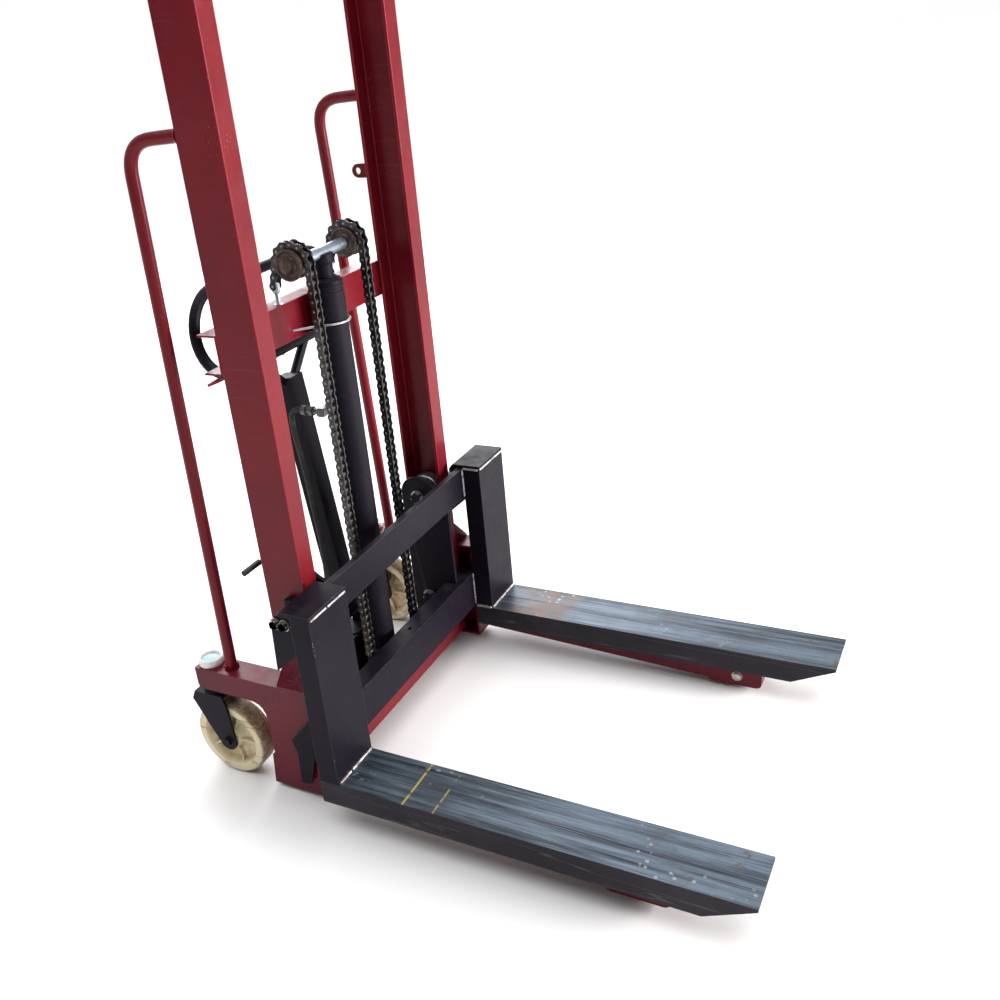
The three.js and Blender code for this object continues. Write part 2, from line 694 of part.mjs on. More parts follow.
function carriageRoller(side, z) {
  const r = CHANNEL_ROLLER_R;
  const half = 15;
  const profile = [[12.4, -half], [r - 2, -half], [r, -half + 3], [r, half - 3], [r - 2, half], [12.4, half],
    [12.4, -half]];
  return turned('x', profile, side * 294, MAST_MID, z, 24);
}

// Plate beside the mast with two adjusting bolts that bear on a guide pad.
function sideGuide(side) {
  const shape = new THREE.Shape();
  shape.moveTo(UP_REAR + GAP, 408);
  shape.lineTo(296, 386);
  shape.lineTo(352, 338);
  shape.lineTo(346, 440);
  shape.lineTo(331, 478);
  shape.lineTo(UP_REAR + GAP, 496);
  shape.closePath();
  let body = plateYZ(shape, side * 386, side * 394);
  const boltZ = 459;
  for (const y of [309, 331]) {
    body = join(body, bar('x', 6, side * 338, side * 401, y, boltZ), hexX(19, side * 393, side * 405, y, boltZ));
  }
  return join(body, block(side * (MAST_OUT + 0.8), side * 339, 304, 346, boltZ - 22, boltZ + 22));
}

for (const [name, side] of SIDES) {
  piece(`fork_${name}`, fork(side), BLACK);
  piece(`carriage_upright_${name}`, upright(side), BLACK);
  piece(`inner_plate_${name}`, innerPlate(side), BLACK);
  piece(`side_guide_${name}`, sideGuide(side), BLACK);
  piece(`mast_roller_lower_${name}`, carriageRoller(side, ROLL_Z[0]), STEEL);
  piece(`mast_roller_upper_${name}`, carriageRoller(side, ROLL_Z[1]), STEEL);
}
piece('upper_crossbar', upperCrossbar(), BLACK);
piece('lower_crossbar', lowerCrossbar(), BLACK);

// ---- Pump, hose, tiller and pedal ------------------------------------------------------------

function pumpBody() {
  const low = CROSS_BOTTOM + 24 + GAP;
  const base = block(-42, 42, MAST_REAR + 7, 500, low, 190);
  const tank = bar('z', 30, 180, TANK_TOP, 0, TILLER_Y - 3, 16);
  const ear = (x) => join(block(x - 5, x + 5, TILLER_Y - 16, TILLER_Y + 16, 185, TILLER_Z),
    bar('x', 16, x - 5, x + 5, TILLER_Y, TILLER_Z));
  const guide = bar('z', 14, 185, GUIDE_TOP, 0, PLUNGER_Y, 16);
  const pin = bar('x', 9, -44, 44, TILLER_Y, TILLER_Z);
  const port = bar('x', 8, -52, -40, 470, 150, 16);
  return cut(
    join(base, tank, ear(-36), ear(36), guide, pin, port),
    bar('z', 8.3, 88, GUIDE_TOP + 1, 0, PLUNGER_Y),
  );
}

const plunger = () => join(
  bar('z', 8, 125, PLUNGER_TOP - 4, 0, PLUNGER_Y),
  bar('z', 12, PLUNGER_TOP - 10, PLUNGER_TOP, 0, PLUNGER_Y),
);

// Fitting that turns from the cylinder's port towards the hose.
const hoseFitting = () => join(
  bar('x', 7, -CYL_R - 24, -CYL_R - 6 - GAP, CYL_Y + 18, PORT_Z, 12),
  hexX(20, -CYL_R - 16, -CYL_R - 8, CYL_Y + 18, PORT_Z),
  block(-CYL_R - 34, -CYL_R - 14.5, 369, 389.4, PORT_Z - 10, PORT_Z + 10.3),
  bar('y', 7, 375, 436, -CYL_R - 24, PORT_Z, 12),
  bar('y', 11.5, 402, 412, -CYL_R - 24, PORT_Z, 6),
  bar('y', 11, 420, 432, -CYL_R - 24, PORT_Z, 6),
);

function hydraulicHose() {
  const x = -CYL_R - 24;
  const points = [at(x, 436 + 2 * GAP, 791), at(x, 445, 791), at(x, 456, 786), at(x, 464, 772), at(x + 4, 468, 730),
    at(-48, 464, 640), at(-47, 458, 540), at(-48, 452, 430), at(-56, 452, 330), at(-78, 458, 240),
    at(-86, 466, 190), at(-80, 470, 160), at(-66, 470, 150.5), at(-52 - GAP, 470, 150)];
  return swept(new THREE.CatmullRomCurve3(points, false, 'centripetal'), 6.5, 28, 6);
}

// Places a solid drawn along the leaning tiller: local z runs up the tube from the pivot.
function leaned(geometry) {
  return solid(geometry.rotateX(-Math.atan(LEAN)).translate(0, TILLER_Y, TILLER_Z));
}

function tillerPoint(x, back, up) {
  const angle = Math.atan(LEAN);
  return at(x, TILLER_Y + up * Math.sin(angle) + back * Math.cos(angle),
    TILLER_Z + up * Math.cos(angle) - back * Math.sin(angle));
}

function tillerTube() {
  const tube = leaned(new THREE.BoxGeometry(TUBE, TUBE, JUNCTION_UP - 40).translate(0, 0, 40 + (JUNCTION_UP - 40) / 2));
  const boss = bar('x', 24, -29, 29, TILLER_Y, TILLER_Z);
  const cam = block(-CAM_HALF, CAM_HALF, TILLER_Y + 4, PLUNGER_Y + 9, TILLER_Z - CAM_HALF, TILLER_Z + CAM_HALF);
  const arms = [-1, 1].map((side) => {
    const from = tillerPoint(side * 10, 0, JUNCTION_UP - 20);
    const to = tillerPoint(side * 96, 0, LOOP_UP - LOOP_R + 2);
    return swept(new THREE.LineCurve3(from, to), LOOP_TUBE - 1, 1, 8);
  });
  const seat = leaned(new THREE.BoxGeometry(TUBE + 4, 30, 60).translate(0, 0, 32));
  const handle = handLoop(0);
  return cut(join(tube, boss, cam, seat, ...arms), bar('x', 9.4, -31, 31, TILLER_Y, TILLER_Z), handle);
}

function handLoop(shrink) {
  const top = LOOP_UP + LOOP_R;
  const low = LOOP_UP - LOOP_R;
  const path = new THREE.CurvePath();
  const straight = LOOP_HALF - LOOP_R;
  const p = (x, up) => tillerPoint(x, 0, up);
  const quarter = (cx, cy, from, to) => {
    const points = [];
    for (let i = 0; i <= 8; i += 1) {
      const angle = from + ((to - from) * i) / 8;
      points.push(p(cx + LOOP_R * Math.cos(angle), cy + LOOP_R * Math.sin(angle)));
    }
    return new THREE.CatmullRomCurve3(points);
  };
  path.add(new THREE.LineCurve3(p(8, low), p(straight, low)));
  path.add(quarter(straight, LOOP_UP, -Math.PI / 2, Math.PI / 2));
  path.add(new THREE.LineCurve3(p(straight, top), p(-straight, top)));
  path.add(quarter(-straight, LOOP_UP, Math.PI / 2, Math.PI * 1.5));
  path.add(new THREE.LineCurve3(p(-straight, low), p(-8, low)));
  const ring = swept(path, LOOP_TUBE - shrink, 36, 8);
  return join(ring, swept(new THREE.LineCurve3(p(-16, low), p(16, low)), LOOP_TUBE + 1.5, 2, 10));
}

// Small red hand lever clamped to the loop's lower right.
function releaseLever() {
  const pivot = tillerPoint(-172, 0, LOOP_UP - LOOP_R);
  const blade = new THREE.Shape([
    new THREE.Vector2(10, -6), new THREE.Vector2(10, 6), new THREE.Vector2(-30, 5), new THREE.Vector2(-62, 3),
    new THREE.Vector2(-62, -3), new THREE.Vector2(-30, -5),
  ]);
  const geometry = new THREE.ExtrudeGeometry(blade, { depth: 4, bevelEnabled: false });
  geometry.rotateX(Math.PI / 2).translate(pivot.x, pivot.y + 20, pivot.z - 4);
  return join(solid(geometry), bar('y', 5, pivot.y + 13, pivot.y + 28, pivot.x, pivot.z - 6, 14));
}

// Cranked lever whose end turns inwards as a foot bar.
function footPedal() {
  const x = -70;
  const tipY = 606;
  const tipZ = 405;
  const rod = bent([at(x, PEDAL_Y + 4, PEDAL_Z), at(x, 560, 200), at(x, 600, tipZ), at(-160, tipY, tipZ)],
    6, 24, 14, 6);
  const boss = bar('x', 15, -84, -58, PEDAL_Y, PEDAL_Z);
  const sleeve = bar('x', 7.5, -164, -104, tipY, tipZ, 16);
  return cut(join(rod, boss, sleeve), bar('x', PEDAL_PIN_R + 0.4, -90, -50, PEDAL_Y, PEDAL_Z, 16));
}

function pedalBracket() {
  const low = CROSS_BOTTOM + 24 + GAP;
  const front = 500.6;
  return join(
    bar('x', PEDAL_PIN_R, -100, -44, PEDAL_Y, PEDAL_Z, 16),
    block(-100, -92, front - 2.6, PEDAL_Y + 10, low, PEDAL_Z + 10),
    block(-50, -44, front, PEDAL_Y + 10, low, PEDAL_Z + 10),
    block(-100, -44, front, PEDAL_Y + 3, low, CROSS_BOTTOM + 30),
  );
}

piece('pump_body', pumpBody(), BLACK);
piece('pump_plunger', plunger(), STEEL);
piece('hose_fitting', hoseFitting(), STEEL);
piece('hydraulic_hose', hydraulicHose(), RUBBER);
piece('tiller_tube', tillerTube(), BLACK);
piece('tiller_loop', handLoop(0.4), BLACK);
piece('release_lever', releaseLever(), RED);
piece('foot_pedal', footPedal(), BLACK);
piece('pedal_bracket', pedalBracket(), BLACK);

export default stacker;
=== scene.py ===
import json
import math
import random

import bpy
import bmesh
from mathutils import Matrix, Vector


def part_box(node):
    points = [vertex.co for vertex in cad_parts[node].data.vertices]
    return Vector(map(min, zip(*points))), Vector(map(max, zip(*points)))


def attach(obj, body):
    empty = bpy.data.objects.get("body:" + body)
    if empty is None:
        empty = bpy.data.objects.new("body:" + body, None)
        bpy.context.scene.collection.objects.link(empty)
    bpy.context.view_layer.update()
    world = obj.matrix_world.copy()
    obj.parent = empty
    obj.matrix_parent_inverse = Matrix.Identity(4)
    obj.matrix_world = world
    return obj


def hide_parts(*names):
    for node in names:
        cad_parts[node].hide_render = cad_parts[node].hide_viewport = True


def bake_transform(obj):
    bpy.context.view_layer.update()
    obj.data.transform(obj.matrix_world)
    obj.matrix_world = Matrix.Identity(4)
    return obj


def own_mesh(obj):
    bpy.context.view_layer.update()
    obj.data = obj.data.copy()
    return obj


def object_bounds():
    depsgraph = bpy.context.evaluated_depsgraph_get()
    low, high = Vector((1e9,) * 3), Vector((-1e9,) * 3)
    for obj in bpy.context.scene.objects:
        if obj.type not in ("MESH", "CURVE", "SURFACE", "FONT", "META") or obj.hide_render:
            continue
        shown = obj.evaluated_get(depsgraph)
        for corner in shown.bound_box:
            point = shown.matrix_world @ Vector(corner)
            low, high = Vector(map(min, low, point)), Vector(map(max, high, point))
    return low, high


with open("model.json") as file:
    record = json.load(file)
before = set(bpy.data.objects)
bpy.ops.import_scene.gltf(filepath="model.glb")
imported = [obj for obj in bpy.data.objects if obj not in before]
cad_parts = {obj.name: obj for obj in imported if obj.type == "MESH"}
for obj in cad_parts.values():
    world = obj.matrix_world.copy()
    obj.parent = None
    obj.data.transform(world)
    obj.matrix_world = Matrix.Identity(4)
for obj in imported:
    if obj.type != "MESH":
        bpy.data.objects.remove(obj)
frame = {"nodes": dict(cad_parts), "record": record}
cad_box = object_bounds()

RECORD = frame["record"]
BODY_OF = {node: body for body, nodes in RECORD["behaviour"]["bodies"].items() for node in nodes}
SIDES = (("right", -1), ("left", 1))


# ---- Camera ------------------------------------------------------------------------------------

def place_camera():
    """The eye stands at the right front of the machine and looks down over the forks."""
    yaw, pitch, roll = 1.007, -0.427, -0.128
    forward = Vector((math.sin(yaw) * math.cos(pitch), math.cos(yaw) * math.cos(pitch), math.sin(pitch)))
    level = Vector((math.cos(yaw), -math.sin(yaw), 0))
    upward = level.cross(forward)
    across = level * math.cos(roll) + upward * math.sin(roll)
    up = upward * math.cos(roll) - level * math.sin(roll)
    lens = bpy.data.cameras.new("eye")
    lens.sensor_width = 36
    lens.lens = 37.56
    lens.shift_x = 0.0836
    lens.shift_y = -0.0018
    lens.clip_start = 0.02
    eye = bpy.data.objects.new("eye", lens)
    turn = Matrix((across, up, -forward)).transposed().to_4x4()
    eye.matrix_world = Matrix.Translation((-1.7855, -0.9237, 1.5375)) @ turn
    bpy.context.scene.collection.objects.link(eye)
    bpy.context.scene.camera = eye


# ---- Shader helpers ----------------------------------------------------------------------------

class Wire:
    """A node's output that works in a Python expression: each operator adds its Math node."""

    def __init__(self, finish, socket):
        self.finish = finish
        self.socket = socket

    def maths(self, operation, *values):
        return self.finish.node("ShaderNodeMath", {"operation": operation}, dict(enumerate(values)))

    def __add__(self, other):
        return self.maths("ADD", self, other)

    __radd__ = __add__

    def __sub__(self, other):
        return self.maths("SUBTRACT", self, other)

    def __rsub__(self, other):
        return self.maths("SUBTRACT", other, self)

    def __mul__(self, other):
        return self.maths("MULTIPLY", self, other)

    __rmul__ = __mul__

    def __truediv__(self, other):
        return self.maths("DIVIDE", self, other)

    def __pow__(self, other):
        return self.maths("POWER", self, other)

    def high(self, other):
        return self.maths("MAXIMUM", self, other)

    def low(self, other):
        return self.maths("MINIMUM", self, other)

    def ramp(self, start, end):
        """0 at start, 1 at end, smooth between; start may be above end."""
        settings = {"interpolation_type": "SMOOTHSTEP"}
        if start > end:
            return 1 - self.finish.node("ShaderNodeMapRange", settings, {"Value": self, 1: end, 2: start})
        return self.finish.node("ShaderNodeMapRange", settings, {"Value": self, 1: start, 2: end})


class Finish:
    """One procedural material."""

    def __init__(self, name, **constants):
        self.material = bpy.data.materials.new(name)
        self.material.use_nodes = True
        self.tree = self.material.node_tree
        self.tree.nodes.clear()
        self.shader = self.tree.nodes.new("ShaderNodeBsdfPrincipled")
        out = self.tree.nodes.new("ShaderNodeOutputMaterial")
        self.tree.links.new(self.shader.outputs[0], out.inputs[0])
        for key, value in constants.items():
            self.shader.inputs[key.replace("_", " ").title().replace("Ior", "IOR")].default_value = value
        self.place = self.node("ShaderNodeTexCoord", {}, {}, "Object")

    def node(self, kind, settings, values, output=0):
        """Adds a node: its type, then its settings, then the values or links of its sockets."""
        made = self.tree.nodes.new(kind)
        for key, value in settings.items():
            setattr(made, key, value)
        for key, value in values.items():
            if isinstance(value, Wire):
                self.tree.links.new(value.socket, made.inputs[key])
            else:
                made.inputs[key].default_value = value
        return Wire(self, made.outputs[output])

    def set(self, name, value):
        self.tree.links.new(value.socket, self.shader.inputs[name])

    def noise(self, scale, detail=3, rough=0.55, place=None):
        return self.node("ShaderNodeTexNoise", {},
                         {"Vector": place or self.place, "Scale": scale, "Detail": detail,
                          "Roughness": rough})

    def cells(self, scale, place=None):
        return self.node("ShaderNodeTexVoronoi", {}, {"Vector": place or self.place, "Scale": scale})

    def stretched(self, x, y, z):
        return self.node("ShaderNodeVectorMath", {"operation": "MULTIPLY"}, {0: self.place, 1: (x, y, z)})

    def from_point(self, point):
        return self.node("ShaderNodeVectorMath", {"operation": "SUBTRACT"}, {0: self.place, 1: point})

    def axis(self, letter, vector=None):
        return self.node("ShaderNodeSeparateXYZ", {}, {0: vector or self.place}, letter)

    def facing(self, letter):
        normal = self.node("ShaderNodeNewGeometry", {}, {}, "Normal")
        return self.node("ShaderNodeSeparateXYZ", {}, {0: normal}, letter)

    def mix(self, share, first, second):
        """A colour between two colours."""
        values = {0: share}
        for index, colour in ((6, first), (7, second)):
            values[index] = colour if isinstance(colour, Wire) else (*colour, 1)
        return self.node("ShaderNodeMix", {"data_type": "RGBA"}, values, 2)

    def bump(self, height, strength, distance, under=None):
        values = {"Height": height, "Strength": strength, "Distance": distance}
        if under:
            values["Normal"] = under
        return self.node("ShaderNodeBump", {}, values)

    def scratches(self, scale, angle, thin=0.012):
        """Long thin marks that run one way."""
        turned = self.node("ShaderNodeMapping", {}, {
            "Vector": self.place, "Rotation": angle, "Scale": (1, 0.035, 1)})
        field = self.noise(scale, 2, 0.5, turned)
        line = (field - 0.5).maths("ABSOLUTE", field - 0.5)
        return line.ramp(thin, 0)


# ---- Finishes ----------------------------------------------------------------------------------

def paint(name, colour, deep, dust, scale=1.0, shine=0.3, chips=0.075, chip_colour=(0.16, 0.13, 0.13),
          grain=0.35, coat=0.2, gleam=0.4):
    """Sprayed gloss: a slow change of tone, orange peel, dust on upward faces, hairlines and small chips."""
    f = Finish(name, coat_weight=coat, coat_roughness=0.14, specular_ior_level=gleam)
    tone = f.noise(3.1 * scale, 4)
    cloud = f.noise(14 * scale, 5, 0.65)
    body = f.mix(tone.ramp(0.3, 0.72), colour, deep)
    upward = f.facing("Z").ramp(0.25, 0.95)
    settled = (upward * 0.45 + 0.10) * cloud.ramp(0.42, 0.78)
    body = f.mix(settled, body, dust)
    hair = f.scratches(46, (0.4, 0.2, 0.9)) * f.noise(5, 2).ramp(0.5, 0.68)
    body = f.mix(hair * 0.5, body, dust)
    spot = f.cells(150).ramp(0.2, 0.12) * f.noise(9, 3).ramp(0.61, 0.69)
    bare = (spot + f.noise(60, 4, 0.7).ramp(0.735, 0.76)).low(1.0) * chips * 12
    bare = bare.low(1.0)
    body = f.mix(bare, body, chip_colour)
    f.set("Base Color", body)
    f.set("Roughness", (cloud * 0.24 + settled * 0.3 + hair * 0.2 + bare * 0.2 + shine - 0.08).low(0.95))
    peel = f.bump(f.noise(420, 2), 0.16 * grain, 0.002)
    waves = f.bump(f.noise(34, 3), 0.1, 0.004, peel)
    f.set("Normal", f.bump(bare * -1, 0.5, 0.0006, waves))
    return f.material


def edge_highlight_and_wear(name, colour, metal, amount):
    """The same paint where it turns over an edge, lighter as a painted edge highlight, with patches of a
    second colour that is bare metal on the black and a pink painted highlight on the red.
    """
    f = Finish(name, coat_weight=0.1, coat_roughness=0.15, specular_ior_level=0.16)
    # patches where the second colour shows: worn bare metal on the black paint, a pink painted highlight on
    # the red
    wear_and_highlight = f.noise(38, 5, 0.7).ramp(0.66 - amount * 0.3, 0.72 - amount * 0.2)
    f.set("Base Color", f.mix(wear_and_highlight, colour, metal))
    f.set("Roughness", 0.34 + f.noise(90, 3) * 0.2)
    f.set("Metallic", wear_and_highlight * 0.6)
    f.set("Normal", f.bump(f.noise(120, 4), 0.35, 0.0012))
    return f.material


def fork_finish():
    """Black paint on the sides; the top is rubbed to streaked blue-grey steel with stains and chalk lines."""
    f = Finish("fork_paint_and_steel", coat_weight=0.02, coat_roughness=0.2, specular_ior_level=0.16)
    top = f.facing("Z").ramp(0.8, 0.97)
    y = f.axis("Y")
    x = f.axis("X")
    streak = f.noise(1, 6, 0.72, f.stretched(70, 2.2, 40))
    fine = f.noise(1, 3, 0.6, f.stretched(420, 6, 200))
    patch = f.noise(7, 5, 0.62)
    blot = f.noise(26, 4, 0.6)
    side = f.mix(patch.ramp(0.35, 0.75), (0.011, 0.009, 0.014), (0.026, 0.021, 0.03))
    side = f.mix(f.scratches(38, (0.1, 0.3, 0.5)) * 0.4, side, (0.12, 0.11, 0.12))
    steel = f.mix(streak.ramp(0.34, 0.68), (0.018, 0.024, 0.033), (0.115, 0.152, 0.192))
    steel = f.mix(fine.ramp(0.52, 0.78) * 0.45, steel, (0.27, 0.32, 0.375))
    steel = f.mix(patch.ramp(0.5, 0.68) * 0.55, steel, (0.045, 0.047, 0.056))
    tip = y.ramp(-0.36, -0.60)
    rust = (blot.ramp(0.6, 0.7) * (tip * 0.7 + 0.12)).low(1.0)
    steel = f.mix(rust, steel, (0.075, 0.052, 0.042))
    drop = f.cells(62).ramp(0.27, 0.19) * f.noise(8, 2).ramp(0.55, 0.66)
    steel = f.mix(drop * 0.6, steel, (0.30, 0.32, 0.34))
    heel = (y - 0.055).maths("ABSOLUTE", y - 0.055).ramp(0.0035, 0.0012) * f.noise(55, 2).ramp(0.36, 0.5)
    second = (y + 0.015).maths("ABSOLUTE", y + 0.015).ramp(0.0028, 0.001) * f.noise(48, 2).ramp(0.46, 0.6)
    near = x.ramp(-0.1, -0.2)
    steel = f.mix((heel + second * 0.7).low(1.0) * near, steel, (0.45, 0.36, 0.10))
    ground = y.ramp(-0.02, 0.03) * y.ramp(0.19, 0.13) * (1 - near) * f.noise(30, 3).ramp(0.3, 0.6)
    steel = f.mix(ground * 0.6, steel, (0.13, 0.075, 0.05))
    f.set("Base Color", f.mix(top, side, steel))
    gloss = (0.26 + streak * 0.2 + blot * 0.12 + rust * 0.25 - drop * 0.1).low(0.9)
    f.set("Roughness", gloss * top + (1 - top) * (0.36 + patch * 0.16))
    f.set("Metallic", top * (0.55 - rust * 0.5).high(0.0))
    ridges = f.bump(streak * top, 0.35, 0.0012)
    pits = f.bump(f.noise(260, 4, 0.65), 0.14, 0.0012, ridges)
    f.set("Normal", pits)
    return f.material


def steel_finish(name, colour, stain, rough=0.28, metal=1.0, grain=(30, 30, 900)):
    """Bare steel with a turned or drawn grain and faint stains."""
    f = Finish(name)
    lay = f.noise(1, 3, 0.6, f.stretched(*grain))
    patch = f.noise(40, 4, 0.6)
    f.set("Base Color", f.mix(patch.ramp(0.45, 0.75), colour, stain))
    f.set("Roughness", lay * 0.22 + patch * 0.2 + (rough - 0.15))
    f.set("Metallic", metal - patch.ramp(0.5, 0.75) * 0.5 * metal)
    f.set("Normal", f.bump(lay, 0.15, 0.0004))
    return f.material


def oiled_finish(name, colour, grease, rough):
    """Dark steel under a film of old oil."""
    f = Finish(name, coat_weight=0.5, coat_roughness=0.18)
    film = f.noise(70, 4, 0.65)
    f.set("Base Color", f.mix(film.ramp(0.35, 0.7), colour, grease))
    f.set("Roughness", film * 0.3 + (rough - 0.1))
    f.set("Metallic", 0.75 - film * 0.5)
    f.set("Normal", f.bump(f.noise(300, 3), 0.25, 0.0006))
    return f.material


def nylon_finish(name, centre, tread):
    """Yellowed cast nylon, dirty in the dish and brown where it has rolled."""
    f = Finish(name, subsurface_weight=0.12, coat_weight=0.1)
    offset = f.from_point(centre)
    y, z, x = f.axis("Y", offset), f.axis("Z", offset), f.axis("X", offset)
    radius = (y * y + z * z) ** 0.5
    cloud = f.noise(18, 5, 0.65)
    speck = f.noise(90, 4, 0.7)
    flat = x.maths("ABSOLUTE", x)
    rolled = radius.ramp(tread - 0.008, tread - 0.0005)
    dished = flat.ramp(0.021, 0.010)
    body = f.mix(cloud.ramp(0.3, 0.75), (0.80, 0.73, 0.52), (0.68, 0.55, 0.32))
    body = f.mix(dished * cloud.ramp(0.35, 0.62) * 0.65, body, (0.42, 0.33, 0.19))
    body = f.mix(rolled * (0.45 + speck.ramp(0.35, 0.65) * 0.5), body, (0.20, 0.135, 0.085))
    smear = f.scratches(30, (0.9, 0.2, 0.1), 0.03) * cloud.ramp(0.45, 0.6)
    body = f.mix((smear + speck.ramp(0.66, 0.74)).low(1.0) * 0.65, body, (0.13, 0.095, 0.07))
    f.set("Base Color", body)
    f.set("Roughness", 0.42 + cloud * 0.2 + rolled * 0.15)
    f.set("Normal", f.bump(speck, 0.3, 0.0015, f.bump(cloud, 0.2, 0.004)))
    return f.material


def plastic_finish(name, colour, grime, rough=0.4):
    f = Finish(name)
    cloud = f.noise(55, 4, 0.65)
    f.set("Base Color", f.mix(cloud.ramp(0.52, 0.75) * 0.7, colour, grime))
    f.set("Roughness", rough + cloud * 0.2)
    f.set("Normal", f.bump(f.noise(400, 3), 0.15, 0.0006))
    return f.material


def rubber_finish():
    """Wrapped hose cover with a fine weave."""
    f = Finish("hose_rubber")
    weave = f.node("ShaderNodeTexWave", {"bands_direction": "DIAGONAL"},
                   {"Vector": f.place, "Scale": 190.0, "Distortion": 1.5}, 1)
    dust = f.noise(30, 4)
    f.set("Base Color", f.mix(dust.ramp(0.45, 0.8), (0.012, 0.012, 0.013), (0.055, 0.05, 0.048)))
    f.set("Roughness", 0.55 + dust * 0.3)
    f.set("Normal", f.bump(weave, 0.5, 0.0008))
    return f.material


def weld_finish():
    """Bright bead with straw heat colours and patches of soot."""
    f = Finish("weld_metal")
    heat = f.noise(52, 4, 0.6)
    soot = f.noise(120, 4, 0.65)
    body = f.mix(heat.ramp(0.4, 0.7), (0.50, 0.51, 0.53), (0.24, 0.20, 0.19))
    body = f.mix(soot.ramp(0.55, 0.7) * 0.8, body, (0.06, 0.055, 0.06))
    f.set("Base Color", body)
    f.set("Roughness", 0.28 + soot * 0.3)
    f.set("Metallic", 0.9 - soot.ramp(0.5, 0.7) * 0.6)
    f.set("Normal", f.bump(soot, 0.4, 0.0008))
    return f.material


RED = paint("red_gloss", (0.17, 0.0045, 0.010), (0.12, 0.0035, 0.010), (0.20, 0.045, 0.055),
            coat=0.05, gleam=0.16)
# lighter red on the bevelled edges as a painted edge highlight; its pink patches are painted highlight too
RED_EDGE_HIGHLIGHT = edge_highlight_and_wear("red_gloss_edge_highlight", (0.24, 0.012, 0.024), (0.40, 0.18, 0.19), 0.08)
DEEP_RED = paint("base_red_gloss", (0.125, 0.003, 0.014), (0.085, 0.0025, 0.012), (0.20, 0.05, 0.065), 1.4,
                 coat=0.05, gleam=0.16)
BLACK = paint("black_gloss", (0.0055, 0.0040, 0.0085), (0.0090, 0.0070, 0.0130), (0.030, 0.024, 0.032),
              1.2, 0.42, 0.04, (0.10, 0.10, 0.12), coat=0.0, gleam=0.09)
# lighter black on the bevelled edges as a painted edge highlight; its grey patches are worn bare steel
BLACK_EDGE_HIGHLIGHT = edge_highlight_and_wear("black_gloss_edge_highlight", (0.016, 0.013, 0.021), (0.30, 0.31, 0.34), 0.12)
FORK = fork_finish()
STEEL = steel_finish("bare_steel", (0.55, 0.58, 0.62), (0.22, 0.21, 0.21))
AXLE_STEEL = steel_finish("axle_steel", (0.34, 0.42, 0.50), (0.12, 0.12, 0.14), 0.3, 0.9, (900, 30, 30))
ROLLER_STEEL = steel_finish("roller_steel", (0.36, 0.36, 0.37), (0.12, 0.10, 0.09), 0.35, 0.9, (900, 60, 60))
BOLT_STEEL = steel_finish("zinc_bolts", (0.42, 0.40, 0.37), (0.18, 0.14, 0.11), 0.36, 0.9, (200, 200, 200))
FITTING = oiled_finish("dull_fitting", (0.05, 0.05, 0.055), (0.12, 0.11, 0.11), 0.4)
CHAIN = oiled_finish("oiled_chain", (0.012, 0.011, 0.012), (0.035, 0.03, 0.03), 0.3)
PIN = oiled_finish("polished_pins", (0.46, 0.45, 0.46), (0.13, 0.12, 0.12), 0.24)
HUB = oiled_finish("brown_hub", (0.045, 0.022, 0.018), (0.10, 0.055, 0.042), 0.42)
WELD = weld_finish()
RUBBER = rubber_finish()
WHITE = plastic_finish("white_cap_ring", (0.80, 0.80, 0.78), (0.42, 0.36, 0.33))
BLUE = plastic_finish("pale_blue_cap", (0.46, 0.62, 0.66), (0.30, 0.35, 0.36))


# ---- Form helpers ------------------------------------------------------------------------------

AXES = {"x": (Vector((1, 0, 0)), Vector((0, 1, 0)), Vector((0, 0, 1))),
        "y": (Vector((0, 1, 0)), Vector((0, 0, 1)), Vector((1, 0, 0))),
        "z": (Vector((0, 0, 1)), Vector((1, 0, 0)), Vector((0, 1, 0)))}


